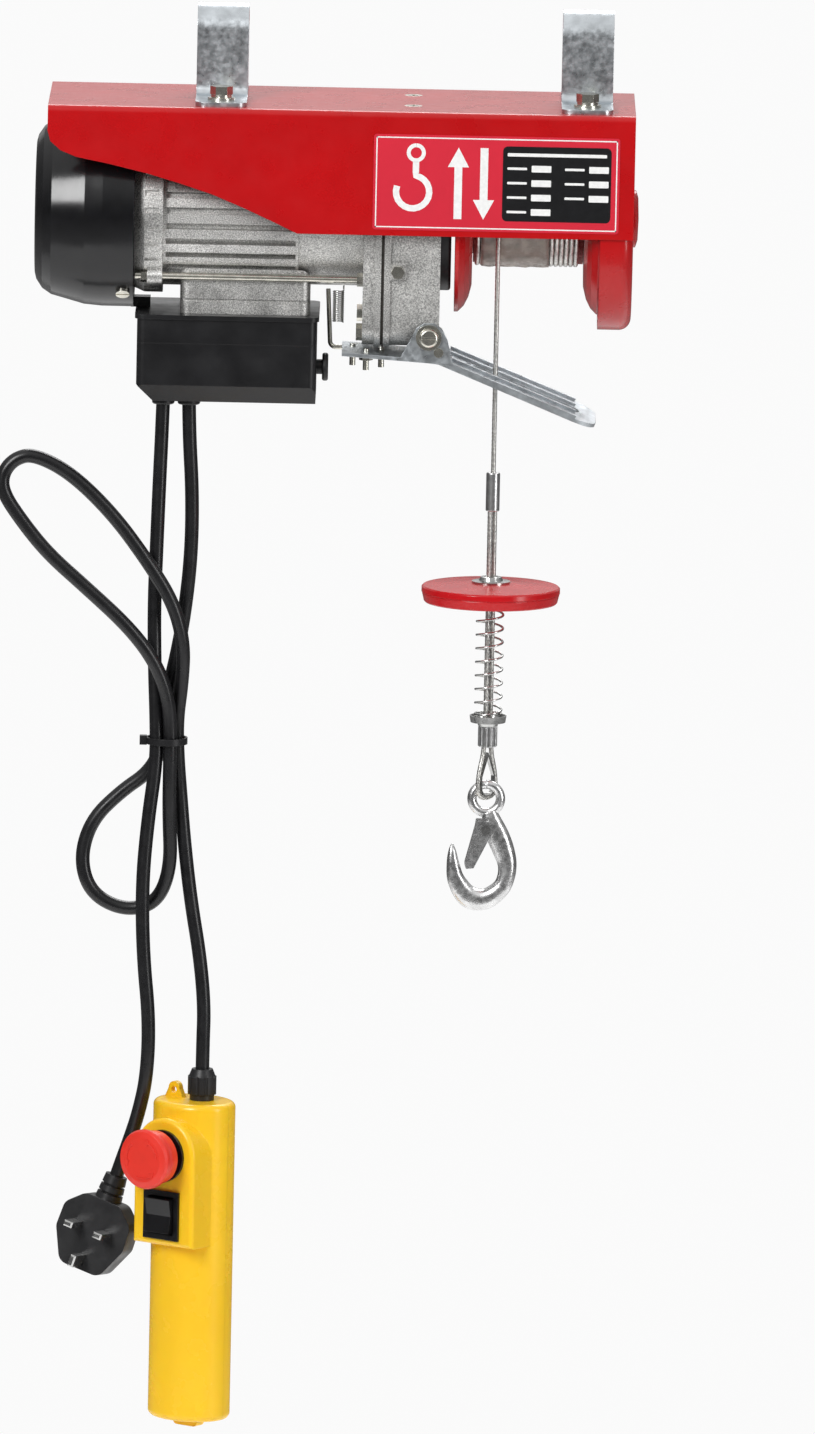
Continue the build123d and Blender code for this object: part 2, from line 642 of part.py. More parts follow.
def latch_pin():
    u, w = LATCH_PIVOT
    x, z = ROPE_X + u, EYE_Z + w
    reach = HOOK_T / 2 + 2
    pin = rod_y(2, ROPE_Y - reach, ROPE_Y + reach, x, z)
    for side in (-1, 1):
        ends = sorted((ROPE_Y + side * reach, ROPE_Y + side * (reach + 1.6)))
        pin += rod_y(3.2, *ends, x, z)
    return pin


# ---- limit lever -----------------------------------------------------------------------------

def limit_lever():
    """Bent sheet: pivot ear, tail under the gearbox, and a slotted arm the rope runs through."""
    t = LEVER_T
    tail = plate_xz([(-38, -207), (25, -211), (25, -211 - t), (-38, -207 - t)],
                    LEVER_Y0, LEVER_Y1)
    arm_end = (131, -254)
    arm = plate_xz([(25, -211), arm_end, (arm_end[0] - 1, arm_end[1] - t), (25, -211 - t)],
                   LEVER_Y0, LEVER_Y1)
    tip = arm.edges().filter_by(lambda e: e.center().X > 128 and e.length < 4)
    arm = fillet(tip, 16)
    for y in (LEVER_Y0 + 1.3, -45.5, -24.3, LEVER_Y1 - 1.3):
        arm += plate_xz([(34, -212.5), (118, -246.6), (116, -250), (34, -217)], y - 1.3, y + 1.3)
    slot = block((44, 120), (ROPE_Y - 8, ROPE_Y + 8), (-262, -208))
    arm -= fillet(slot.edges().filter_by(Axis.Z), 7.5)
    hinge = Pos(25, LEVER_Y0, -211 - t)
    arm = hinge * Rot(ARM_ROLL, 0, 0) * hinge.inverse() * arm
    ear = plate_xz([(0, -211), (36, -215), (32, -198), (28, -190), (23, -186.5), (16, -186.5),
                    (11, -190), (7, -198)], LEVER_Y0, LEVER_Y0 + 2)
    lever = tail + arm + ear
    return lever - rod_y(4 + RUN_GAP, -80, 0, PIVOT_X, PIVOT_Z)


def lever_pivot():
    """Shoulder bolt and spacer on the gearbox's front face."""
    bolt = rod_y(4, -66, -CASE_HALF, PIVOT_X, PIVOT_Z)
    spacer = rod_y(7, -62.5, -CASE_HALF, PIVOT_X, PIVOT_Z)
    washer = rod_y(8.5, -66.7, -65.3, PIVOT_X, PIVOT_Z)
    head = fillet(rod_y(6.3, -70.5, -66.7, PIVOT_X, PIVOT_Z).edges().group_by(Axis.Y)[0], 2)
    head -= Pos(PIVOT_X, -70.5, PIVOT_Z) * Box(9, 1.6, 1.4)
    return bolt + spacer + washer + head


def lever_screws():
    """Adjusting screws with lock nuts under the lever's tail, and a rivet in its ear."""
    pieces = []
    for x, y in ((-31, -28), (-22, -52), (-12, -36)):
        top = -205.7
        sheet = -208.8 - 0.063 * (x + 10)
        screw = rod_z(2, -220, top, x, y)
        nut = Pos(x, y, sheet - 5.3) * extrude(RegularPolygon(4.6, 6), amount=3.5)
        pieces.append(screw + nut)
    rivet = rod_y(3.2, LEVER_Y0 - 1.6, LEVER_Y0, 26, -206)
    pieces.append(rivet)
    return pieces


def lever_spring():
    x, y = -41.0, stud_centres()[0][0]
    body = coil(3.35, 0.5, -169, -190, 16, x, y)
    upper = rod_z(0.5, -169.6, -164.4, x + 3.35, y)
    lower = rod_z(0.5, -207, -189.4, x + 3.35, y)
    return together([body + upper + lower])


def limit_rod():
    """Bent wire on the lever's tail that works the limit contact beside the box."""
    y = LEVER_Y1 - 1.6
    path = FilletPolyline((-36, y, -210.9), (-46, y, -210.9), (-48, y, -172), radius=4)
    section = Plane(origin=path @ 0, z_dir=path % 0) * Circle(1.5)
    return sweep(section, path)


# ---- control box -----------------------------------------------------------------------------

def box_outline(z0, z1, inset, slope):
    """Box body between two heights, with its lower front and left edges sloped if asked."""
    x0, x1, half = BOX_X0 + inset, BOX_X1 - inset, BOX_HALF - inset
    body = block((x0, x1), (-half, half), (z0, z1))
    body = fillet(body.edges().filter_by(Axis.Z), max(5 - inset, 3))
    if slope:
        body -= plate_yz([(-half - 1, z0 + slope), (-half - 1, z0 - 1), (-half + slope, z0 - 1),
                          (-half, z0 + slope)], x0 - 1, x1 + 1)
        body -= plate_xz([(x0 - 1, z0 + slope), (x0 - 1, z0 - 1), (x0 + slope, z0 - 1),
                          (x0, z0 + slope)], -half - 1, half + 1)
    return body


def control_box_base():
    """Upper tray of the box, screwed to the motor foot."""
    tray = box_outline(BOX_SEAM, BOX_TOP, 0, 0)
    rim = box_outline(BOX_TOP - 3, BOX_TOP, -1.5, 0)
    return tray + rim - box_outline(BOX_SEAM - 1, BOX_TOP - WALL, WALL, 0)


def control_box_cover():
    """Lower cover with a sloped front edge, cord holes and screw pockets."""
    cover = box_outline(BOX_BOTTOM, BOX_SEAM, 0, 12)
    cover -= box_outline(BOX_BOTTOM + WALL, BOX_SEAM + 1, WALL, 11)
    for x, y in ((-157, 33), (-65, 33), (-65, -8)):
        pillar = rod_z(6, BOX_BOTTOM, BOX_SEAM, x, y)
        cover += pillar
        cover -= rod_z(3.5, BOX_BOTTOM - 1, BOX_BOTTOM + 12, x, y)
    return cover - rod_x(5 + RUN_GAP, BOX_X1 - 8, BOX_X1 + 1, y=KNOB_Y, z=KNOB_Z)


def run_capacitor():
    can = rod_x(16, -150, -92, y=22, z=-222)
    return can + rod_x(4, -92, -86, y=16, z=-222) + rod_x(4, -92, -86, y=28, z=-222)


def limit_switch():
    """Snap switch inside the box, worked by the push knob."""
    body = block((-96, -76), (-34, 6), (-234, -210))
    return fillet(body.edges().filter_by(Axis.X), 2)


def limit_knob():
    """Rubber-headed push rod through the box's end wall."""
    stem = rod_x(5, -72, BOX_X1 + 4, y=KNOB_Y, z=KNOB_Z)
    head = rod_x(9.3, BOX_X1 + 4, BOX_X1 + 8, y=KNOB_Y, z=KNOB_Z)
    return stem + fillet(head.edges(), 1.5)


def cord_grommets():
    """Rubber collars at the box and the ribbed gland nut on the pendant."""
    pieces = []
    for start in (MAINS_ROUTE[0], PENDANT_ROUTE[0]):
        ring = rod_z(7.5, GROMMET_Z, BOX_BOTTOM, start[0], start[1])
        pieces.append(fillet(ring.edges().group_by(Axis.Z)[0], 1.5))
    x, y, _ = PENDANT_ROUTE[-1]
    body = rod_z(8.2, PENDANT_TOP, PENDANT_TOP + 6, x, y)
    nut = rod_z(9.6, PENDANT_TOP + 4, PENDANT_TOP + 16, x, y)
    dome = turned_z([(0, PENDANT_TOP + 16), (9, PENDANT_TOP + 16), (7, PENDANT_TOP + 21),
                     (0, PENDANT_TOP + 21)], x, y)
    nut = nut + dome
    for k in range(10):
        angle = radians(36 * k)
        nut -= rod_z(1.2, PENDANT_TOP + 3, PENDANT_TOP + 22, x + 10 * cos(angle),
                     y + 10 * sin(angle))
    return pieces + [body + nut]


def cable_tie():
    band = turned_z([(12.7, TIE_Z - 2.2), (13.9, TIE_Z - 2.2), (13.9, TIE_Z + 2.2),
                     (12.7, TIE_Z + 2.2)], TIE_X, TIE_Y)
    lock = block((TIE_X - 18, TIE_X - 13.2), (TIE_Y - 3, TIE_Y + 3), (TIE_Z - 3, TIE_Z + 3))
    return band + (lock - rod_z(13, TIE_Z - 5, TIE_Z + 5, TIE_X, TIE_Y))


# ---- pendant ---------------------------------------------------------------------------------

def in_pendant(shape):
    """From the pendant's own frame, front towards -Y, to its place and yaw."""
    return Pos(PENDANT_X, PENDANT_Y, 0) * Rot(0, 0, -PENDANT_YAW) * shape


def grip_body(a, b, z0, z1, soft):
    oval = extrude(Pos(0, 0, z0) * Ellipse(a, b), amount=z1 - z0)
    return fillet(oval.edges(), soft) if soft else oval


def pendant_head(inset):
    """Block on the front of the grip with an arched top round the stop button."""
    half = 25 - inset
    front = -(HEAD_FRONT - inset)
    low = -813 + inset
    body = block((-half, half), (front, 0), (low, STOP_Z))
    arch = rod_y(half, front, 0, 0, STOP_Z)
    return body + arch


def pendant_whole():
    grip = grip_body(29, 24.5, PENDANT_BOTTOM, PENDANT_TOP, 4)
    head = pendant_head(0)
    rim = head.edges().filter_by(lambda e: abs(e.center().Y + HEAD_FRONT) < 0.1)
    head = fillet(rim, 3)
    lug = Pos(LUG_U, 0, PENDANT_TOP) * extrude(
        Plane.XZ * (Pos(0, 6) * Circle(4.6) + Polygon((-9, -3), (9, -3), (4.6, 6), (-4.6, 6), align=None)),
        amount=2, both=True)
    lug -= rod_y(LUG_HOLE_R, -5, 5, LUG_U, PENDANT_TOP + 5)
    tab = block((-10, 10), (-4, 4), (PENDANT_BOTTOM - 6, PENDANT_BOTTOM + 4))
    tab = fillet(tab.edges().filter_by(Axis.Y), 3)
    whole = grip + head + lug + tab
    hollow = grip_body(26, 21.5, PENDANT_BOTTOM + 3, PENDANT_TOP - 3, 0)
    whole -= hollow + pendant_head(3)
    whole -= rod_y(8.2, -60, 0, 0, STOP_Z)
    return whole - block((-12.5, 12.5), (-60, 0), (ROCKER_Z - 14.5, ROCKER_Z + 14.5))


def pendant_shells():
    """Front and rear halves, split on the grip's middle plane."""
    whole = pendant_whole()
    front = whole & block((-60, 60), (-80, 0), (-960, -690))
    rear = whole & block((-60, 60), (0, 60), (-960, -690))
    return in_pendant(front), in_pendant(rear)


def stop_stem():
    """Threaded collar's plunger that the mushroom head sits on."""
    face = -HEAD_FRONT
    return in_pendant(rod_y(8.15, face - 6.5, face + 16, 0, STOP_Z))


def stop_head():
    """Mushroom head with a concave grip edge."""
    back = -(HEAD_FRONT + 6.5)
    profile = [(0, back), (15, back), (18, back - 1), (18.4, back - 7), (17.8, back - 9),
               (20, back - 11.5), (20, back - 14), (18.8, back - 16), (15, back - 17), (0, back - 17)]
    outline = make_face(Polyline(*[(r, y, 0) for r, y in profile], close=True))
    head = Pos(0, 0, STOP_Z) * revolve(outline, Axis.Y, 360)
    return in_pendant(head)


def stop_collar():
    """Black bezel ring under the mushroom head."""
    face = -HEAD_FRONT
    ring = rod_y(17.5, face - 2, face, 0, STOP_Z) - rod_y(8.2, face - 3, face + 1, 0, STOP_Z)
    return in_pendant(ring)


def rocker_frame():
    face = -HEAD_FRONT
    frame = block((-14.5, 14.5), (face - 2, face), (ROCKER_Z - 16.5, ROCKER_Z + 16.5))
    frame += block((-12.5, 12.5), (face, face + 18), (ROCKER_Z - 14.5, ROCKER_Z + 14.5))
    well = block((-10.5, 10.5), (face - 3, face + 14), (ROCKER_Z - 12.8, ROCKER_Z + 12.8))
    return in_pendant(frame - well)


def rocker_button():
    """Two-way rocker with a shallow valley, turning about its middle."""
    face = -HEAD_FRONT
    y = face - 5.5
    points = [(y - 0.8, ROCKER_Z + 11.4), (y + 1.4, ROCKER_Z), (y - 0.8, ROCKER_Z - 11.4),
              (face + 1, ROCKER_Z - 11.9), (face + 7, ROCKER_Z - 6), (face + 7, ROCKER_Z + 6),
              (face + 1, ROCKER_Z + 11.9)]
    return in_pendant(plate_yz(points, -10.1, 10.1))


# ---- plug ------------------------------------------------------------------------------------

def in_plug(shape):
    """From the plug's own frame, pins towards -Y and cord up, to its place."""
    return Pos(*PLUG) * Rot(0, PLUG_TILT, 0) * Rot(0, 0, -PLUG_YAW) * shape


def plug_body():
    """Moulded three-pin plug with a ribbed strain relief for the cord."""
    outline = [(-13, 25), (13, 25), (25, 14), (25.5, -3), (15, -25), (-15, -25), (-25.5, -3),
               (-25, 14)]
    body = plate_xz(outline, -10, 11)
    body = fillet(body.edges().filter_by(Axis.Y), 8)
    body = fillet(body.edges().filter_by(lambda e: e.center().Y > 10.9), 4)
    relief = turned_z([(0, 23), (9.5, 23), (7.4, 42), (0, 42)], 0, 0)
    relief += rod_z(9.5, 20, 23, 0, 0)
    for z in (29, 34.5):
        relief -= turned_z([(6.6, z), (12, z), (12, z + 1.6), (6.6, z + 1.6)], 0, 0)
    return in_plug(body + relief)


def plug_pins():
    half = PIN_PITCH / 2
    pins = []
    for x, z, w, h in ((-half, 4, 6.35, 4), (half, 4, 6.35, 4), (0, 4 - PIN_PITCH, 4, 8)):
        pin = block((x - w / 2, x + w / 2), (-29, -6), (z - h / 2, z + h / 2))
        pin = chamfer(pin.edges().filter_by(lambda e: e.center().Y < -28.9), 1)
        pins.append(in_plug(pin))
    return pins


# ---- assembly --------------------------------------------------------------------------------

def build_parts():
    """Every node by name. Fasteners are cut out of what they pass through."""
    bracket_bolts = together(bracket_fasteners())
    screws = together(gearbox_bolts()) - screw_recesses()
    studs = together(motor_studs())
    fan_screws = together(cover_screws())
    mains = cord(MAINS_ROUTE)
    pendant = cord(PENDANT_ROUTE)
    sling = rope_sling()
    pins = together(plug_pins())
    front, rear = pendant_shells()
    grommets = together(cord_grommets()) - mains - pendant
    screws_lever = together(lever_screws())
    pivot = lever_pivot()
    rod = limit_rod()
    brackets = [hanging_bracket(x) - bracket_bolts for x in (-BRACKET_X, BRACKET_X)]
    bearings = [
        bearing(-172, -162.5, SHAFT_R, 16), bearing(FLANGE_X1 - 9, FLANGE_X1, SHAFT_R, 16),
        bearing(CASE_X1, CASE_X1 + 7, DRUM_SHAFT_R, 16),
        bearing(HOUSING_X1 - SHEET - 11, HOUSING_X1 - SHEET, DRUM_SHAFT_R, 16),
    ]
    return {
        "hanging_brackets": together(brackets),
        "bracket_bolts": bracket_bolts,
        "housing_shell": housing_shell() - bracket_bolts - screws - screw_recesses(),
        "end_bracket": end_bracket(),
        "bearing_cap": turned_x([(HOUSING_X1 - 1.9, 0), (HOUSING_X1 - 1.9, 16), (HOUSING_X1, 16),
                                 (HOUSING_X1, 19), (HOUSING_X1 + 2, 19), (HOUSING_X1 + 3.5, 14),
                                 (HOUSING_X1 + 4, 0)]),
        "rating_label": rating_label(),
        "fan_cover": fan_cover() - fan_screws,
        "cooling_fan": cooling_fan(),
        "rear_end_bell": rear_end_bell() - studs,
        "stator_housing": stator_housing(),
        "stator_core": stator_core(),
        "stator_windings": together(stator_windings()),
        "rotor_core": rotor_core(),
        "motor_shaft": motor_shaft(),
        "ball_bearings": together(bearings),
        "motor_fasteners": together([studs, fan_screws]),
        "motor_foot": motor_foot(),
        "front_flange": front_flange() - studs - screws,
        "flange_gasket": flange_gasket() - screws,
        "gearbox_case": gearbox_case() - screws,
        "gearbox_bolts": screws,
        "layshaft_gear": layshaft_gear(),
        "drum_gear": drum_gear(),
        "bearing_collar": bearing_collar(),
        "drum_shaft": drum_shaft(),
        "drum_spool": drum_core() + drum_flange(DRUM_X0, -1) + drum_flange(DRUM_X1, 1),
        "rope_winding": rope_winding(),
        "hoist_rope": hoist_rope(),
        "rope_ferrules": together([upper_ferrule() - sling, lower_ferrule() - sling]),
        "rope_sling": sling,
        "stop_disc": stop_disc(),
        "disc_washer": disc_washer(),
        "buffer_spring": coil(8.7, 0.8, DISC_BOTTOM - 0.3, CUP_Z + 0.3, 8, ROPE_X, ROPE_Y),
        "spring_cup": spring_cup(),
        "thimble": thimble(),
        "hook": hook(),
        "hook_latch": hook_latch(),
        "latch_pin": latch_pin(),
        "limit_lever": limit_lever() - screws_lever - rod,
        "lever_pivot": pivot,
        "lever_screws": screws_lever,
        "lever_spring": lever_spring(),
        "limit_rod": rod,
        "control_box_base": control_box_base(),
        "control_box_cover": control_box_cover() - mains - pendant,
        "run_capacitor": run_capacitor(),
        "limit_switch": limit_switch(),
        "limit_knob": limit_knob(),
        "cord_grommets": grommets,
        "mains_cord": mains,
        "pendant_cord": pendant,
        "cable_tie": cable_tie(),
        "plug_body": plug_body() - pins - mains,
        "plug_pins": pins,
        "pendant_front": front,
        "pendant_rear": rear,
        "stop_stem": stop_stem(),
        "stop_head": stop_head(),
        "pendant_bezels": together([stop_collar(), rocker_frame()]),
        "rocker_button": rocker_button(),
    }


os.makedirs("parts", exist_ok=True)
for node, shape in build_parts().items():
    export_step(shape, f"parts/{node}.step")
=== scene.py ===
"""Looks for the electric wire-rope hoist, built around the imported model. Metres, +Z up."""
import json
import math

import bmesh
import bpy
from mathutils import Matrix, Vector


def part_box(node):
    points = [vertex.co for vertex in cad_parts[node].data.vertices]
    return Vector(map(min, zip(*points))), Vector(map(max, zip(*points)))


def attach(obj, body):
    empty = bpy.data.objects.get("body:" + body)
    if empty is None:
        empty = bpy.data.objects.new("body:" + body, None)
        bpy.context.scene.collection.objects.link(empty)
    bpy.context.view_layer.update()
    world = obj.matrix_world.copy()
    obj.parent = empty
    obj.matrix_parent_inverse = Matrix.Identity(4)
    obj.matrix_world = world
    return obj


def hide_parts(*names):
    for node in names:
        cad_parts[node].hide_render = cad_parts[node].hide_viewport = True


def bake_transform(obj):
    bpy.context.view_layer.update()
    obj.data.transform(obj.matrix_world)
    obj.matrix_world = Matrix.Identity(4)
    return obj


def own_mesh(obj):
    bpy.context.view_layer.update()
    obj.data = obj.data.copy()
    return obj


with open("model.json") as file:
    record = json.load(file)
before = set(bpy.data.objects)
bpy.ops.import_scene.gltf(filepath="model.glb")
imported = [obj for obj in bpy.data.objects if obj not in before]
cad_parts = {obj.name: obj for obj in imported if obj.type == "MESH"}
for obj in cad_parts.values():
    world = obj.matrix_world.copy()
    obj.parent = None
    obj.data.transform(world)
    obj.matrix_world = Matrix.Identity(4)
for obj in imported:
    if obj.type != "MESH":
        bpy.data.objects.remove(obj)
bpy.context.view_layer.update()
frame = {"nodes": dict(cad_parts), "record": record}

MM = 0.001
RECORD = frame["record"]
JOINTS = {j["name"]: j for j in RECORD["behaviour"]["joints"]}

MAINS_ROUTE = [
    (-156, -17, -244), (-156.5, -17, -268), (-157.5, -17, -301), (-158.5, -17, -342),
    (-159.5, -16, -384), (-158.5, -17, -425), (-156.5, -19.5, -463), (-156, -19.8, -490),
    (-161, -22, -530), (-164, -23, -572), (-162.5, -22, -620), (-157.5, -22, -665),
    (-158.5, -20, -703), (-163.7, -14.8, -729), (-169.5, -11, -748), (-175, -10, -764),
    (-181, -10, -782.5),
]
PENDANT_ROUTE = [
    (-139, -17, -244), (-138.5, -16, -268), (-135.5, -14, -310), (-135.5, -11, -352),
    (-139.5, -7, -394), (-145.5, -6, -428), (-152, -9, -454), (-152, -10.5, -480),
    (-160.5, -7, -499), (-179.5, -4, -513), (-199, -4, -533), (-206, -5, -559),
    (-198.5, -6, -582), (-176.5, -7, -593), (-154.5, -8, -588), (-145, -12, -563),
    (-147, -18, -525), (-147, -22.4, -492), (-147, -23, -464), (-150, -27, -441),
    (-159.5, -31, -419), (-177, -33, -397), (-205, -33, -372), (-230.5, -32.5, -350),
    (-248, -31.5, -329), (-261.5, -30.5, -309.5), (-261.5, -30, -296.7), (-253.5, -29.5, -287),
    (-241, -29, -284), (-216.5, -28.5, -296), (-188, -28, -323), (-164.5, -28, -354),
    (-146.5, -28, -382), (-139, -24, -410), (-140, -18, -437), (-143, -14, -462),
    (-142, -12.5, -488), (-139.5, -9, -515), (-136.5, -10, -546), (-131.5, -13, -584),
    (-124.5, -16, -622), (-121, -18, -655), (-121.5, -18, -682), (-121.5, -18, -706),
]
CORD_R = 4.65 * MM
ROPE_R = 1.6 * MM
STRAND_LAY = 16 * MM
SLING_YAW = math.radians(46)
BUFFER_WIRE_R, BUFFER_R = 0.8 * MM, 8.7 * MM
LEVER_WIRE_R, LEVER_COIL_R = 0.5 * MM, 3.35 * MM
LEVER_COIL_Z = (-190 * MM, -169 * MM)
EYE_R, EYE_BAR_R, EYE_DROP = 9.5 * MM, 3.1 * MM, 12.5 * MM
STOP_FACE = 56.5 * MM
FLOOR_Z, FLOOR_R = -1.30, 1.6


# ---- camera ----------------------------------------------------------------------------------

def set_camera():
    """A long lens level with the housing, a little above it and slightly rolled."""
    distance, height = 12.0, 0.956
    pitch, roll = math.radians(8.6), math.radians(1.2)
    target = Vector((10.5, 0, -459.6)) * MM
    forward = Vector((0, math.cos(pitch), -math.sin(pitch)))
    level = Vector((1, 0, 0))
    up = level.cross(forward)
    right = level * math.cos(roll) + up * math.sin(roll)
    up = right.cross(forward)
    data = bpy.data.cameras.new("camera")
    data.sensor_fit = "VERTICAL"
    data.sensor_height = 24
    data.lens = data.sensor_height * distance / height
    data.clip_end = 200
    camera = bpy.data.objects.new("camera", data)
    axes = Matrix((right, up, -forward)).transposed()
    camera.matrix_world = Matrix.Translation(target - forward * distance) @ axes.to_4x4()
    bpy.context.collection.objects.link(camera)
    bpy.context.scene.camera = camera


# ---- materials -------------------------------------------------------------------------------

class Shader:
    """A principled material with a few helpers for procedural inputs."""

    def __init__(self, name, color, roughness, metallic=0.0, **sockets):
        self.material = bpy.data.materials.new(name)
        self.material.use_nodes = True
        self.nodes = self.material.node_tree.nodes
        self.links = self.material.node_tree.links
        self.bsdf = self.nodes["Principled BSDF"]
        self.bsdf.inputs["Base Color"].default_value = (*color, 1)
        self.bsdf.inputs["Roughness"].default_value = roughness
        self.bsdf.inputs["Metallic"].default_value = metallic
        for socket, value in sockets.items():
            self.bsdf.inputs[socket.replace("_", " ")].default_value = value
        self.color = color
        self.roughness = roughness
        self.normal = None
        self.coordinates = self.nodes.new("ShaderNodeTexCoord").outputs["Object"]

    def noise(self, scale, detail=4.0, stretch=(1, 1, 1), roughness=0.55):
        mapping = self.nodes.new("ShaderNodeMapping")
        mapping.inputs["Scale"].default_value = stretch
        self.links.new(self.coordinates, mapping.inputs["Vector"])
        texture = self.nodes.new("ShaderNodeTexNoise")
        texture.inputs["Scale"].default_value = scale
        texture.inputs["Detail"].default_value = detail
        texture.inputs["Roughness"].default_value = roughness
        self.links.new(mapping.outputs["Vector"], texture.inputs["Vector"])
        return texture.outputs["Fac"]

    def spread(self, factor, low, high, start=0.3, end=0.7):
        node = self.nodes.new("ShaderNodeMapRange")
        node.inputs["From Min"].default_value = start
        node.inputs["From Max"].default_value = end
        node.inputs["To Min"].default_value = low
        node.inputs["To Max"].default_value = high
        self.links.new(factor, node.inputs["Value"])
        return node.outputs["Result"]

    def mottle(self, factor, dark=0.85, light=1.1):
        """Base colour drifts between a darker and a lighter shade."""
        ramp = self.nodes.new("ShaderNodeValToRGB")
        ramp.color_ramp.elements[0].position = 0.3
        ramp.color_ramp.elements[1].position = 0.7
        ramp.color_ramp.elements[0].color = (*[c * dark for c in self.color], 1)
        ramp.color_ramp.elements[1].color = (*[min(c * light, 1) for c in self.color], 1)
        self.links.new(factor, ramp.inputs["Fac"])
        self.links.new(ramp.outputs["Color"], self.bsdf.inputs["Base Color"])
        return self

    def speckle(self, dark, light):
        """Fine bright grains over broad soft patches, as on a blasted casting."""
        grains = self.spread(self.noise(1300, 2), dark, light, 0.35, 0.65)
        patches = self.spread(self.noise(28, 3), 0.82, 1.12)
        product = self.nodes.new("ShaderNodeMath")
        product.operation = "MULTIPLY"
        self.links.new(grains, product.inputs[0])
        self.links.new(patches, product.inputs[1])
        tint = self.nodes.new("ShaderNodeVectorMath")
        tint.operation = "SCALE"
        tint.inputs[0].default_value = self.color
        self.links.new(product.outputs["Value"], tint.inputs["Scale"])
        self.links.new(tint.outputs["Vector"], self.bsdf.inputs["Base Color"])
        return self

    def vary_roughness(self, factor, swing):
        result = self.spread(factor, self.roughness - swing, self.roughness + swing)
        self.links.new(result, self.bsdf.inputs["Roughness"])
        return self

    def bump(self, factor, strength, distance):
        node = self.nodes.new("ShaderNodeBump")
        node.inputs["Strength"].default_value = strength
        node.inputs["Distance"].default_value = distance
        self.links.new(factor, node.inputs["Height"])
        if self.normal is not None:
            self.links.new(self.normal, node.inputs["Normal"])
        self.normal = node.outputs["Normal"]
        self.links.new(self.normal, self.bsdf.inputs["Normal"])
        return self

    def soft_edges(self, radius):
        node = self.nodes.new("ShaderNodeBevel")
        node.samples = 4
        node.inputs["Radius"].default_value = radius
        self.normal = node.outputs["Normal"]
        self.links.new(self.normal, self.bsdf.inputs["Normal"])
        return self


def red_paint():
    s = Shader("red_paint", (0.50, 0.002, 0.004), 0.30, Coat_Weight=0.30, Coat_Roughness=0.10)
    s.bsdf.inputs["Specular IOR Level"].default_value = 0.35
    s.soft_edges(0.7 * MM)
    s.mottle(s.noise(14), 0.90, 1.05)
    s.vary_roughness(s.noise(60), 0.05)
    return s.bump(s.noise(700, 2), 0.10, 0.15 * MM).material


def zinc_strap():
    s = Shader("zinc_strap", (0.66, 0.70, 0.73), 0.36, 1.0)
    s.soft_edges(0.5 * MM)
    s.mottle(s.noise(90, 8), 0.75, 1.15)
    s.vary_roughness(s.noise(260, 3, (1, 0.15, 1)), 0.10)
    s.bump(s.noise(60, 3), 0.15, 0.6 * MM)
    return s.bump(s.noise(700, 3, (1, 0.1, 1)), 0.18, 0.2 * MM).material


def zinc_bolts():
    s = Shader("zinc_bolts", (0.74, 0.72, 0.64), 0.25, 1.0)
    s.soft_edges(0.15 * MM)
    s.mottle(s.noise(150), 0.72, 1.15)
    return s.bump(s.noise(1200), 0.15, 0.1 * MM).material


def cast_alloy():
    s = Shader("cast_alloy", (0.60, 0.595, 0.58), 0.48, 0.95)
    s.soft_edges(0.6 * MM)
    s.speckle(0.55, 1.45)
    s.vary_roughness(s.noise(60, 4), 0.12)
    s.bump(s.noise(55, 3), 0.12, 1.0 * MM)
    return s.bump(s.noise(1250, 3), 0.55, 0.35 * MM).material


def soft_alloy():
    s = Shader("soft_alloy", (0.66, 0.66, 0.66), 0.30, 1.0)
    s.soft_edges(0.3 * MM)
    s.mottle(s.noise(200), 0.75, 1.1)
    return s.bump(s.noise(900, 3, (1, 1, 0.15)), 0.25, 0.15 * MM).material


def black_gloss():
    s = Shader("black_gloss", (0.006, 0.006, 0.007), 0.20)
    s.soft_edges(0.6 * MM)
    s.mottle(s.noise(70), 0.7, 1.3)
    s.vary_roughness(s.noise(30), 0.06)
    return s.bump(s.noise(80, 2), 0.06, 0.3 * MM).material


def black_matt():
    s = Shader("black_matt", (0.009, 0.009, 0.010), 0.36)
    s.bsdf.inputs["Specular IOR Level"].default_value = 0.4
    s.soft_edges(0.6 * MM)
    s.mottle(s.noise(25), 0.8, 1.3)
    s.vary_roughness(s.noise(50), 0.07)
    return s.bump(s.noise(2400, 2), 0.12, 0.1 * MM).material


def black_paint():
    s = Shader("black_paint", (0.03, 0.03, 0.032), 0.45, 0.4)
    s.mottle(s.noise(80), 0.7, 1.5)
    return s.bump(s.noise(900), 0.15, 0.1 * MM).material


def black_rubber():
    s = Shader("black_rubber", (0.012, 0.012, 0.013), 0.40)
    s.bsdf.inputs["Specular IOR Level"].default_value = 0.45
    s.soft_edges(0.7 * MM)
    s.mottle(s.noise(60), 0.8, 1.35)
    s.vary_roughness(s.noise(90), 0.08)
    return s.bump(s.noise(1500, 2), 0.10, 0.1 * MM).material


def cord_sheath():
    s = Shader("cord_sheath", (0.008, 0.008, 0.009), 0.30)
    s.mottle(s.noise(40), 0.8, 1.3)
    s.vary_roughness(s.noise(120), 0.06)
    return s.bump(s.noise(500, 2), 0.06, 0.15 * MM).material


def dark_steel():
    s = Shader("dark_steel", (0.16, 0.16, 0.165), 0.40, 1.0)
    s.soft_edges(0.3 * MM)
    s.mottle(s.noise(120), 0.7, 1.3)
    return s.bump(s.noise(800), 0.12, 0.1 * MM).material


def bright_steel():
    s = Shader("bright_steel", (0.62, 0.62, 0.61), 0.20, 1.0)
    s.mottle(s.noise(180), 0.78, 1.1)
    s.vary_roughness(s.noise(500), 0.06)
    return s.bump(s.noise(1500), 0.08, 0.1 * MM).material


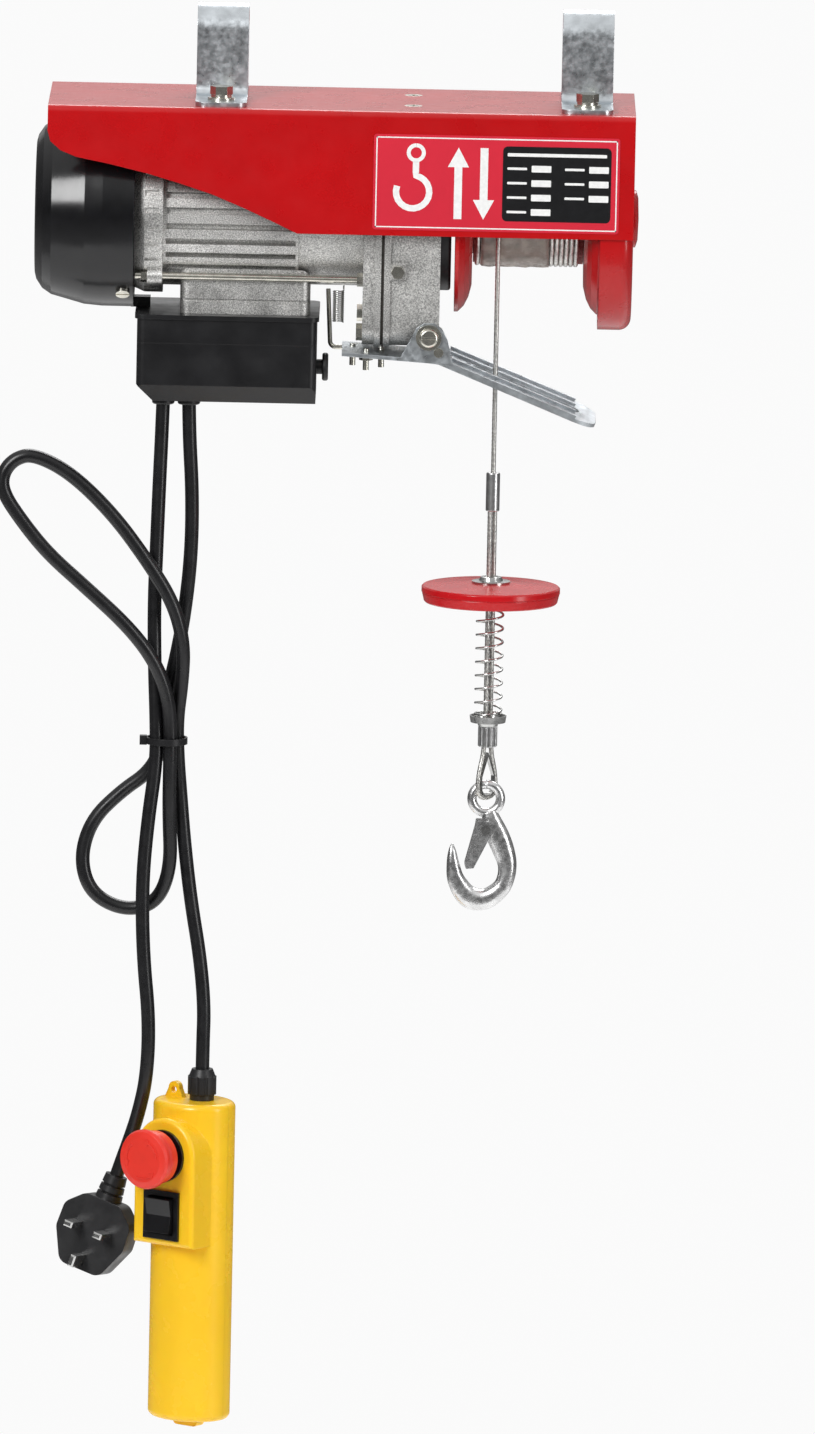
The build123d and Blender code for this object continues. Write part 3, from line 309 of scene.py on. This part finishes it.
def forged_zinc():
    s = Shader("forged_zinc", (0.80, 0.80, 0.80), 0.28, 1.0)
    s.mottle(s.noise(90, 5), 0.72, 1.15)
    s.vary_roughness(s.noise(300), 0.08)
    s.bump(s.noise(170, 3), 0.30, 0.8 * MM)
    return s.bump(s.noise(1100, 2), 0.20, 0.2 * MM).material


def wire_rope():
    s = Shader("wire_rope", (0.72, 0.71, 0.68), 0.36, 1.0)
    s.mottle(s.noise(500, 5), 0.60, 1.2)
    return s.bump(s.noise(3000, 2), 0.4, 0.15 * MM).material


def copper():
    s = Shader("copper", (0.60, 0.25, 0.12), 0.35, 1.0)
    return s.bump(s.noise(900, 2, (1, 0.1, 0.1)), 0.5, 0.5 * MM).material


def gasket_board():
    s = Shader("gasket_board", (0.05, 0.045, 0.04), 0.8)
    s.mottle(s.noise(300), 0.7, 1.3)
    return s.bump(s.noise(900), 0.4, 0.2 * MM).material


def red_plastic():
    s = Shader("red_plastic", (0.56, 0.005, 0.009), 0.24)
    s.soft_edges(0.5 * MM)
    s.mottle(s.noise(30), 0.92, 1.05)
    s.vary_roughness(s.noise(60), 0.06)
    return s.bump(s.noise(120, 2), 0.06, 0.4 * MM).material


def red_button():
    s = Shader("red_button", (0.80, 0.035, 0.020), 0.36, Subsurface_Weight=0.1)
    s.bsdf.inputs["Subsurface Scale"].default_value = 2 * MM
    s.soft_edges(0.5 * MM)
    s.mottle(s.noise(50), 0.93, 1.05)
    return s.bump(s.noise(1500, 2), 0.08, 0.1 * MM).material


def yellow_plastic():
    s = Shader("yellow_plastic", (0.98, 0.58, 0.016), 0.26, Subsurface_Weight=0.15)
    s.bsdf.inputs["Subsurface Scale"].default_value = 3 * MM
    s.soft_edges(0.9 * MM)
    s.mottle(s.noise(18), 0.96, 1.03)
    s.vary_roughness(s.noise(40), 0.05)
    return s.bump(s.noise(350, 2), 0.06, 0.15 * MM).material


def grey_plastic():
    s = Shader("grey_plastic", (0.30, 0.30, 0.31), 0.5)
    s.mottle(s.noise(90), 0.85, 1.1)
    return s.bump(s.noise(900), 0.1, 0.1 * MM).material


def label_plate():
    s = Shader("label_plate", (0.66, 0.022, 0.045), 0.32, Coat_Weight=0.2, Coat_Roughness=0.1)
    s.mottle(s.noise(20), 0.95, 1.04)
    return s.bump(s.noise(1500, 2), 0.04, 0.1 * MM).material


def print_white():
    s = Shader("print_white", (0.88, 0.88, 0.87), 0.35)
    s.mottle(s.noise(400), 0.93, 1.05)
    return s.bump(s.noise(1500), 0.05, 0.05 * MM).material


def print_black():
    s = Shader("print_black", (0.008, 0.008, 0.009), 0.30)
    s.mottle(s.noise(200), 0.8, 1.3)
    return s.bump(s.noise(1500), 0.05, 0.05 * MM).material


def clear_film():
    s = Shader("clear_film", (0.46, 0.41, 0.36), 0.25, Alpha=0.72)
    s.mottle(s.noise(120, 6), 0.65, 1.25)
    s.vary_roughness(s.noise(120), 0.1)
    return s.bump(s.noise(75, 4), 0.8, 1.5 * MM).material


MAKERS = [
    red_paint, zinc_strap, zinc_bolts, cast_alloy, soft_alloy, black_gloss, black_matt,
    black_paint, black_rubber, cord_sheath, dark_steel, bright_steel, forged_zinc, wire_rope,
    copper, gasket_board, red_plastic, red_button, yellow_plastic, grey_plastic, label_plate,
    print_white, print_black, clear_film,
]
MATERIALS = {maker.__name__: maker() for maker in MAKERS}


def dress_frame():
    """Every CAD node gets the material of its slot."""
    slots = {s["node"]: s["material_slot"] for s in RECORD["subparts"]}
    for node, obj in frame["nodes"].items():
        obj.data.materials.clear()
        obj.data.materials.append(MATERIALS[slots[node]])


# ---- mesh helpers ----------------------------------------------------------------------------

def finish_piece(name, mesh, material, body, smooth=True):
    obj = bpy.data.objects.new(name, mesh)
    bpy.context.collection.objects.link(obj)
    mesh.materials.append(MATERIALS[material])
    mesh.polygons.foreach_set("use_smooth", [smooth] * len(mesh.polygons))
    if body:
        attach(obj, body)
    return obj


def mesh_from(name, verts, faces):
    mesh = bpy.data.meshes.new(name)
    mesh.from_pydata([tuple(v) for v in verts], [], faces)
    mesh.validate()
    mesh.update()
    return mesh


def frames_along(points):
    """Side and up at each point, turning as little as possible."""
    count = len(points)
    result = []
    side = None
    for i in range(count):
        tangent = (points[min(i + 1, count - 1)] - points[max(i - 1, 0)]).normalized()
        if side is None:
            side = tangent.orthogonal().normalized()
        side = (side - tangent * side.dot(tangent)).normalized()
        result.append((side, tangent.cross(side)))
    return result


def tube_faces(rows, sides):
    """Faces of a capped tube whose vertices run row after row."""
    faces = []
    for i in range(rows - 1):
        for k in range(sides):
            a, b = i * sides + k, i * sides + (k + 1) % sides
            faces.append((a, b, b + sides, a + sides))
    faces.append(tuple(reversed(range(sides))))
    faces.append(tuple((rows - 1) * sides + k for k in range(sides)))
    return faces


def lathe_faces(rows, segments):
    """Faces of an open turned surface whose vertices run segment after segment."""
    faces = []
    for k in range(segments):
        a, b = k * rows, (k + 1) % segments * rows
        for i in range(rows - 1):
            faces.append((a + i, b + i, b + i + 1, a + i + 1))
    return faces


def sweep(points, section):
    """Vertices and faces of a capped tube; section(i) gives the offset pairs of row i."""
    verts = [point + side * a + up * b
             for i, (point, (side, up)) in enumerate(zip(points, frames_along(points)))
             for a, b in section(i)]
    return verts, tube_faces(len(points), len(section(0)))


def ring(radius, sides):
    step = 2 * math.pi / sides
    return [(radius * math.cos(k * step), radius * math.sin(k * step)) for k in range(sides)]


def wire_mesh(name, points, radius, sides=12):
    circle = ring(radius, sides)
    return mesh_from(name, *sweep(points, lambda i: circle))


def rope_mesh(name, points, lay=STRAND_LAY, strands=6, sides=36):
    """A stranded rope: a lobed section that turns along its length."""
    lengths = [0.0]
    for a, b in zip(points, points[1:]):
        lengths.append(lengths[-1] + (b - a).length)
    step = 2 * math.pi / sides

    def section(i):
        turn = 2 * math.pi * lengths[i] / lay
        offsets = []
        for k in range(sides):
            angle = k * step
            lobe = abs(math.cos(strands * (angle - turn) / 2))
            reach = ROPE_R * (0.70 + 0.30 * lobe ** 0.6)
            offsets.append((reach * math.cos(angle), reach * math.sin(angle)))
        return offsets

    return mesh_from(name, *sweep(points, section))


def even_points(points, spacing):
    """Points at an even spacing along a polyline."""
    result, carried = [points[0]], 0.0
    for a, b in zip(points, points[1:]):
        run = (b - a).length
        while carried + run >= spacing and run > 0:
            a = a + (b - a) * ((spacing - carried) / run)
            run = (b - a).length
            carried = 0.0
            result.append(a)
        carried += run
    if (result[-1] - points[-1]).length > spacing * 0.3:
        result.append(points[-1])
    return result


def spline_curve(name, route, radius=0.0):
    curve = bpy.data.curves.new(name, "CURVE")
    curve.dimensions = "3D"
    spline = curve.splines.new("NURBS")
    spline.points.add(len(route) - 1)
    for point, place in zip(spline.points, route):
        point.co = (*[c * MM for c in place], 1)
    spline.order_u = 3
    spline.use_endpoint_u = True
    spline.resolution_u = 12
    curve.bevel_depth = radius
    curve.bevel_resolution = 7
    curve.use_fill_caps = True
    return curve


def spline_points(route, spacing):
    """Points along the same spline that a cord of this route has."""
    curve = spline_curve("guide", route)
    guide = bpy.data.objects.new("guide", curve)
    mesh = bpy.data.meshes.new_from_object(guide)
    points = [v.co.copy() for v in mesh.vertices]
    bpy.data.objects.remove(guide)
    bpy.data.curves.remove(curve)
    bpy.data.meshes.remove(mesh)
    return even_points(points, spacing)


def join_meshes(name, meshes):
    bm = bmesh.new()
    for mesh in meshes:
        bm.from_mesh(mesh)
    joined = bpy.data.meshes.new(name)
    bm.to_mesh(joined)
    bm.free()
    for mesh in meshes:
        bpy.data.meshes.remove(mesh)
    return joined


def turned_mesh(name, profile, place, segments=64):
    """A solid of revolution about its own Z from (radius, height) points, put at a matrix."""
    rows = len(profile)
    step = 2 * math.pi / segments
    verts = [place @ Vector((r * math.cos(k * step), r * math.sin(k * step), h))
             for k in range(segments) for r, h in profile]
    faces = lathe_faces(rows, segments)
    faces.append(tuple(k * rows for k in reversed(range(segments))))
    faces.append(tuple(k * rows + rows - 1 for k in range(segments)))
    return mesh_from(name, verts, faces)


# ---- cords -----------------------------------------------------------------------------------

def free_cord(name, route):
    curve = spline_curve(name, route, CORD_R)
    obj = bpy.data.objects.new(name, curve)
    bpy.context.collection.objects.link(obj)
    curve.materials.append(MATERIALS["cord_sheath"])
    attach(obj, "root")
    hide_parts(name)


def make_cords():
    free_cord("mains_cord", MAINS_ROUTE)
    free_cord("pendant_cord", PENDANT_ROUTE)


# ---- wire rope -------------------------------------------------------------------------------

def hoist_rope():
    """The straight fall from the drum, built as a fixed piece on the root; on the real hoist it
    shortens as the hook rises.
    """
    low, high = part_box("hoist_rope")
    x, y = (low[0] + high[0]) / 2, (low[1] + high[1]) / 2
    top, bottom = high[2], low[2]
    third = (top - bottom) / 3
    route = [(x / MM, y / MM, z / MM) for z in (top, top - third, bottom + third, bottom)]
    points = spline_points(route, 0.9 * MM)
    rope = finish_piece("hoist_rope", rope_mesh("hoist_rope", points),
                        "wire_rope", "root")
    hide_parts("hoist_rope")
    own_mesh(rope)


def sling_rope():
    """Doubled rope below the upper ferrule, round the thimble."""
    low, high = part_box("rope_sling")
    rope_low, rope_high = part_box("hoist_rope")
    x, y = (rope_low[0] + rope_high[0]) / 2, (rope_low[1] + rope_high[1]) / 2
    top, bottom = high[2] + 14 * MM, low[2] + ROPE_R
    a, b, neck, shoulder = 2.3 * MM, 8.3 * MM, -474 * MM, -492 * MM
    loop = [(-a, top), (-a, top - 60 * MM), (-a, top - 120 * MM), (-a, neck), (-b, shoulder),
            (-b, bottom), (b, bottom), (b, shoulder), (a, neck), (a, top - 120 * MM),
            (a, top - 60 * MM), (a, top)]
    route = [((x + h * math.cos(SLING_YAW)) / MM, (y + h * math.sin(SLING_YAW)) / MM, z / MM)
             for h, z in loop]
    points = spline_points(route, 1.0 * MM)
    rope = finish_piece("sling_rope", rope_mesh("sling_rope", points),
                        "wire_rope", "lifting_line")
    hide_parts("rope_sling")


def drum_winding():
    """The outer layer of turns, a filler drum under it and a wrap of clear film."""
    low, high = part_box("rope_winding")
    axis_z = (low[2] + high[2]) / 2
    outer = (high[2] - low[2]) / 2
    x0, x1 = low[0] + ROPE_R, high[0] - ROPE_R
    pitch = 2 * ROPE_R * 1.02
    turns = int((x1 - x0) / pitch)
    radius = outer - ROPE_R
    per_turn = 150
    points = []
    for i in range(turns * per_turn + 1):
        angle = 2 * math.pi * i / per_turn
        points.append(Vector((x0 + pitch * i / per_turn, radius * math.sin(angle),
                              axis_z + radius * math.cos(angle))))
    turns_mesh = rope_mesh("rope_turns", points, lay=20 * MM, sides=18)
    turns_piece = finish_piece("rope_turns", turns_mesh, "wire_rope", "drum")
    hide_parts("rope_winding")
    along = Matrix.Translation((0, 0, axis_z)) @ Matrix.Rotation(math.pi / 2, 4, "Y")
    inset = 0.5 * MM
    core = [(radius - inset, low[0] + inset), (radius - inset, high[0] - inset)]
    finish_piece("rope_under_layer", turned_mesh("rope_under_layer", core, along), "wire_rope",
                 "drum")
    film = [(outer + 0.1 * MM, low[0] + 6 * MM), (outer + 0.5 * MM, low[0] + 8 * MM)]
    for k in range(1, 12):
        wave = 0.3 * math.sin(k * 2.1) * MM
        film.append((outer + 0.55 * MM + wave, low[0] + (8 + k * 3.9) * MM))
    finish_piece("film_wrap", film_sleeve("film_wrap", film, along), "clear_film", "drum")


def film_sleeve(name, profile, place, segments=96):
    """An open sleeve with slight waves round it, given a little thickness."""
    verts = []
    for k in range(segments):
        angle = 2 * math.pi * k / segments
        for i, (r, h) in enumerate(profile):
            reach = r + 0.18 * MM * math.sin(5 * angle + i) * math.sin(11 * angle - 2 * i)
            verts.append(place @ Vector((reach * math.cos(angle), reach * math.sin(angle), h)))
    mesh = mesh_from(name, verts, lathe_faces(len(profile), segments))
    bm = bmesh.new()
    bm.from_mesh(mesh)
    bmesh.ops.solidify(bm, geom=bm.faces[:], thickness=0.08 * MM)
    bm.to_mesh(mesh)
    bm.free()
    return mesh


# ---- springs ---------------------------------------------------------------------------------

def helix(x, y, z0, z1, radius, turns, per_turn=28, flat_ends=0.0):
    """Points of a vertical coil, with closed end turns when flat_ends is given."""
    points = []
    count = int(turns * per_turn)
    for i in range(count + 1):
        t = i / count
        rise = t
        if flat_ends:
            edge = flat_ends / turns
            rise = min(max((t - edge) / (1 - 2 * edge), 0.0), 1.0)
        angle = 2 * math.pi * turns * t
        points.append(Vector((x + radius * math.cos(angle), y + radius * math.sin(angle),
                              z0 + (z1 - z0) * rise)))
    return points


def buffer_spring():
    low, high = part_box("buffer_spring")
    x, y = (low[0] + high[0]) / 2, (low[1] + high[1]) / 2
    z0, z1 = low[2] + BUFFER_WIRE_R, high[2] - BUFFER_WIRE_R
    points = helix(x, y, z0, z1, BUFFER_R, turns=9.5, flat_ends=0.7)
    mesh = wire_mesh("buffer_spring", points, BUFFER_WIRE_R)
    piece = finish_piece("buffer_spring", mesh, "bright_steel", None)
    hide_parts("buffer_spring")
    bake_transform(piece)


def lever_spring():
    """Close-wound extension spring with a straight lead at each end."""
    low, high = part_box("lever_spring")
    x, y = (low[0] + high[0]) / 2, (low[1] + high[1]) / 2
    z0, z1 = LEVER_COIL_Z
    body = helix(x, y, z0, z1, LEVER_COIL_R, turns=16, per_turn=20)
    lower = [Vector((x + LEVER_COIL_R, y, low[2] + (z0 - low[2]) * k / 4)) for k in range(4)]
    upper = [Vector((x + LEVER_COIL_R, y, z1 + (high[2] - z1) * k / 4)) for k in range(1, 5)]
    mesh = wire_mesh("lever_spring", lower + body + upper, LEVER_WIRE_R, sides=10)
    piece = finish_piece("lever_spring", mesh, "bright_steel", None)
    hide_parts("lever_spring")
    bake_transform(piece)


# ---- hook ------------------------------------------------------------------------------------

HOOK_LINE = [
    # across, down, half width, half thickness (mm, from the eye's centre)
    (2.0, -8.5, 5.0, 4.2), (4.4, -16.0, 6.6, 5.4), (8.2, -25.0, 7.6, 5.9), (12.0, -34.0, 7.3, 6.0),
    (14.7, -43.0, 6.4, 6.1), (14.4, -52.0, 5.9, 6.3), (10.6, -60.5, 6.0, 6.5),
    (0.6, -67.6, 6.9, 6.6), (-10.6, -66.2, 7.4, 6.3), (-18.6, -55.6, 5.9, 5.6),
    (-21.2, -44.6, 4.3, 4.6), (-21.9, -35.8, 2.6, 3.2), (-22.0, -31.0, 0.7, 0.9),
]


def through(rows, share):
    """Catmull-Rom value through rows of numbers at a share of their length."""
    place = share * (len(rows) - 1)
    i = min(int(place), len(rows) - 2)
    t = place - i
    p0, p1, p2, p3 = (rows[min(max(i + k, 0), len(rows) - 1)] for k in (-1, 0, 1, 2))
    return [0.5 * (2 * b + (c - a) * t + (2 * a - 5 * b + 4 * c - d) * t * t
                   + (3 * b - a - 3 * c + d) * t ** 3)
            for a, b, c, d in zip(p0, p1, p2, p3)]


def forged_hook():
    """A shank of changing section swept along HOOK_LINE, joined to a round eye."""
    pivot = Vector(JOINTS["hook_swing"]["pos_m"])
    low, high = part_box("hook")
    y = (low[1] + high[1]) / 2
    eye = Vector((pivot.x, y, high[2] - EYE_DROP))
    count, sides = 110, 28
    rows = [through(HOOK_LINE, i / count) for i in range(count + 1)]
    verts = []
    for i, (u, w, half, thick) in enumerate(rows):
        ahead, behind = rows[min(i + 1, count)], rows[max(i - 1, 0)]
        tangent = Vector((ahead[0] - behind[0], 0, ahead[1] - behind[1])).normalized()
        across = Vector((tangent.z, 0, -tangent.x))
        for k in range(sides):
            angle = 2 * math.pi * k / sides
            c, s = math.cos(angle), math.sin(angle)
            a = math.copysign(abs(c) ** 0.8, c) * half
            b = math.copysign(abs(s) ** 0.8, s) * thick
            verts.append(eye + (Vector((u, 0, w)) + across * a + Vector((0, b, 0))) * MM)
    shank = mesh_from("shank", verts, tube_faces(count + 1, sides))
    circle = [eye + Vector((math.sin(t), 0, math.cos(t))) * EYE_R
              for t in (2 * math.pi * k / 72 for k in range(73))]
    loop = wire_mesh("eye", circle, EYE_BAR_R, sides=20)
    piece = finish_piece("hook", join_meshes("hook", [shank, loop]), "forged_zinc", "load_hook")
    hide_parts("hook")


# ---- label -----------------------------------------------------------------------------------

def flat_shape(name, outline, back, front):
    """An (x, z) outline in metres made into a thin plate between two depths."""
    count = len(outline)
    verts = [(x, y, z) for y in (front, back) for x, z in outline]
    faces = [tuple(range(count)), tuple(reversed(range(count, 2 * count)))]
    for k in range(count):
        n = (k + 1) % count
        faces.append((k, k + count, n + count, n))
    return mesh_from(name, verts, faces)


def rounded(x0, x1, z0, z1, radius, steps=6):
    """Outline of a rectangle with round corners."""
    outline = []
    corners = ((x1 - radius, z1 - radius, 0), (x0 + radius, z1 - radius, 90),
               (x0 + radius, z0 + radius, 180), (x1 - radius, z0 + radius, 270))
    for cx, cz, start in corners:
        for k in range(steps + 1):
            angle = math.radians(start + 90 * k / steps)
            outline.append((cx + radius * math.cos(angle), cz + radius * math.sin(angle)))
    return outline


def stroke(points, width):
    """Outline of a line of some width through (x, z) points."""
    left, right = [], []
    for i, (x, z) in enumerate(points):
        ahead, behind = points[min(i + 1, len(points) - 1)], points[max(i - 1, 0)]
        dx, dz = ahead[0] - behind[0], ahead[1] - behind[1]
        scale = width / 2 / math.hypot(dx, dz)
        left.append((x - dz * scale, z + dx * scale))
        right.append((x + dz * scale, z - dx * scale))
    return left + right[::-1]


def frame_strips(x0, x1, z0, z1, line):
    """Four thin bars along the sides of a rectangle."""
    bars = ((x0, x1, z1 - line, z1), (x0, x1, z0, z0 + line),
            (x0, x0 + line, z0, z1), (x1 - line, x1, z0, z1))
    return [rounded(*bar, line / 3, 2) for bar in bars]


def hook_sign(x, top):
    """Outlines of a ring and of a crane hook under it."""
    ring_r, bend_r, lean = 5 * MM, 11 * MM, 1.9 * MM
    loop = [(x + ring_r * math.sin(math.radians(15 * k)),
             top - ring_r + ring_r * math.cos(math.radians(15 * k))) for k in range(25)]
    bend = [(x, top - 11 * MM), (x, top - 18 * MM)]
    for k in range(18):
        angle = math.radians(80 - 16.5 * k)
        bend.append((x + bend_r * math.cos(angle) - lean, top - 31 * MM + bend_r * math.sin(angle)))
    return [stroke(loop, 2.6 * MM), stroke(bend, 4.2 * MM)]


def arrow_sign(x, tail, tip):
    shaft, wing, neck = 2.6 * MM, 7 * MM, tip - math.copysign(13 * MM, tip - tail)
    return [(x - shaft, tail), (x + shaft, tail), (x + shaft, neck), (x + wing, neck), (x, tip),
            (x - wing, neck), (x - shaft, neck)]


def blank_table(x0, x1, top):
    """Outlines of a heading bar and of blank cells in two columns."""
    cells = [rounded(x0 + 3 * MM, x1 - 3 * MM, top - 6.6 * MM, top - 4.4 * MM, 0.6 * MM)]
    for row, columns in enumerate((2, 2, 2, 1)):
        z = top - (12.5 + 9.6 * row) * MM
        for column in range(columns):
            x = x0 + (3 + 38 * column) * MM
            cells.append(rounded(x, x + 13 * MM, z - 3 * MM, z - 1.4 * MM, 0.5 * MM))
            cells.append(rounded(x + 16 * MM, x + 29 * MM, z - 4.4 * MM, z, 0.5 * MM))
    return cells


def label_print():
    """Printed shapes on the rating label: a border, plain signs and a blank table."""
    low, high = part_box("rating_label")
    y, layer = low[1], 0.12 * MM
    x0, x1, z0, z1 = low[0], high[0], low[2], high[2]
    inset = 1.6 * MM
    foot, top = z0 + 8 * MM, z1 - 8 * MM
    white = frame_strips(x0 + inset, x1 - inset, z0 + inset, z1 - inset, 0.8 * MM)
    white += hook_sign(x0 + 28 * MM, z1 - 7 * MM)
    white += [arrow_sign(x0 + 56 * MM, foot, top), arrow_sign(x0 + 73 * MM, top, foot)]
    panel_x0, panel_x1, panel_top = x0 + 85.3 * MM, x1 - 5.6 * MM, z1 - 6.5 * MM
    panel = rounded(panel_x0, panel_x1, z0 + 7.2 * MM, panel_top, 3.2 * MM)
    plates = [flat_shape("mark", outline, y, y - layer) for outline in white]
    plates += [flat_shape("mark", outline, y - layer, y - 2 * layer)
               for outline in blank_table(panel_x0, panel_x1, panel_top)]
    finish_piece("label_lines", join_meshes("label_lines", plates), "print_white", "root",
                 smooth=False)
    finish_piece("label_panel", flat_shape("label_panel", panel, y, y - layer), "print_black",
                 "root", smooth=False)


# ---- stop button -----------------------------------------------------------------------------

def twist_arrows():
    """Three curved arrows moulded round the face of the stop button."""
    outward, upward = Vector(JOINTS["stop_twist"]["axis"]), Vector((0, 0, 1))
    level = upward.cross(outward).normalized()
    place = Matrix((level, upward, outward)).transposed().to_4x4()
    place.translation = Vector(JOINTS["stop_twist"]["pos_m"]) + outward * STOP_FACE
    radius, half, rise, steps = 12.6 * MM, 0.55 * MM, 0.45 * MM, 26
    meshes = []
    for k in range(3):
        start = math.radians(120 * k + 10)
        rings = []
        for i in range(steps + 1):
            angle = start + math.radians(74) * i / steps
            grow = half if i < steps - 6 else 2.2 * MM * (steps - i) / 6 + 0.05 * MM
            rings.append([(radius + side * grow, angle, height)
                          for side, height in ((-1, -rise), (-1, rise), (1, rise), (1, -rise))])
        verts = [place @ Vector((r * math.cos(a), r * math.sin(a), h))
                 for section in rings for r, a, h in section]
        faces = [(0, 1, 2, 3), tuple(4 * steps + j for j in (3, 2, 1, 0))]
        for i in range(steps):
            for j in range(4):
                a, b = 4 * i + j, 4 * i + (j + 1) % 4
                faces.append((b, a, a + 4, b + 4))
        meshes.append(mesh_from("arrow", verts, faces))
    finish_piece("stop_arrows", join_meshes("stop_arrows", meshes), "red_button", "stop_mushroom",
                 smooth=False)


# ---- stage -----------------------------------------------------------------------------------

def area_light(name, place, aim, size, power):
    data = bpy.data.lights.new(name, "AREA")
    data.shape = "RECTANGLE"
    data.size, data.size_y = size
    data.energy = power
    light = bpy.data.objects.new(name, data)
    light.location = place
    direction = Vector(aim) - Vector(place)
    light.rotation_euler = direction.to_track_quat("-Z", "Y").to_euler()
    bpy.context.collection.objects.link(light)


def studio():
    """White surroundings for the camera, a graded sky for reflections, softboxes and a floor."""
    bpy.context.scene.view_settings.view_transform = "Standard"
    world = bpy.data.worlds.new("studio")
    world.use_nodes = True
    nodes, links = world.node_tree.nodes, world.node_tree.links
    direction = nodes.new("ShaderNodeTexCoord")
    axes = nodes.new("ShaderNodeSeparateXYZ")
    sky = nodes.new("ShaderNodeValToRGB")
    height = nodes.new("ShaderNodeMapRange")
    height.inputs["From Min"].default_value = -1
    shades = [(0.0, 0.70), (0.36, 0.22), (0.47, 0.07), (0.60, 0.16), (0.80, 0.55), (1.0, 0.9)]
    while len(sky.color_ramp.elements) < len(shades):
        sky.color_ramp.elements.new(0.5)
    for element, (place, grey) in zip(sky.color_ramp.elements, shades):
        element.position = place
        element.color = (grey, grey, grey, 1)
    links.new(direction.outputs["Generated"], axes.inputs["Vector"])
    links.new(axes.outputs["Z"], height.inputs["Value"])
    links.new(height.outputs["Result"], sky.inputs["Fac"])
    lighting = nodes["Background"]
    lighting.inputs["Strength"].default_value = 1.0
    links.new(sky.outputs["Color"], lighting.inputs["Color"])
    seen = nodes.new("ShaderNodeBackground")
    seen.inputs["Color"].default_value = (0.96, 0.96, 0.96, 1)
    path = nodes.new("ShaderNodeLightPath")
    mix = nodes.new("ShaderNodeMixShader")
    links.new(path.outputs["Is Camera Ray"], mix.inputs["Fac"])
    links.new(lighting.outputs["Background"], mix.inputs[1])
    links.new(seen.outputs["Background"], mix.inputs[2])
    links.new(mix.outputs["Shader"], nodes["World Output"].inputs["Surface"])
    bpy.context.scene.world = world
    centre = (0, 0, -0.45)
    area_light("key", (-1.7, -2.6, 1.3), centre, (1.0, 1.6), 75)
    area_light("fill", (2.4, -1.9, 0.1), centre, (0.7, 2.4), 30)
    area_light("rim", (0.4, 2.2, 1.6), centre, (2.0, 1.0), 40)
    area_light("card", (0, 3.2, 0.40), (0, 0, -0.1), (3.6, 1.0), 4.5)
    mesh = bpy.data.meshes.new("floor")
    rim = [(x, y, FLOOR_Z) for x, y in ring(FLOOR_R, 96)]
    mesh.from_pydata(rim, [], [tuple(range(len(rim)))])
    floor = bpy.data.objects.new("floor", mesh)
    bpy.context.collection.objects.link(floor)
    shade = Shader("floor_paint", (0.93, 0.93, 0.93), 0.7)
    shade.mottle(shade.noise(2), 0.985, 1.01)
    mesh.materials.append(shade.material)


set_camera()
make_cords()
dress_frame()
hoist_rope()
sling_rope()
drum_winding()
buffer_spring()
lever_spring()
forged_hook()
label_print()
twist_arrows()
studio()
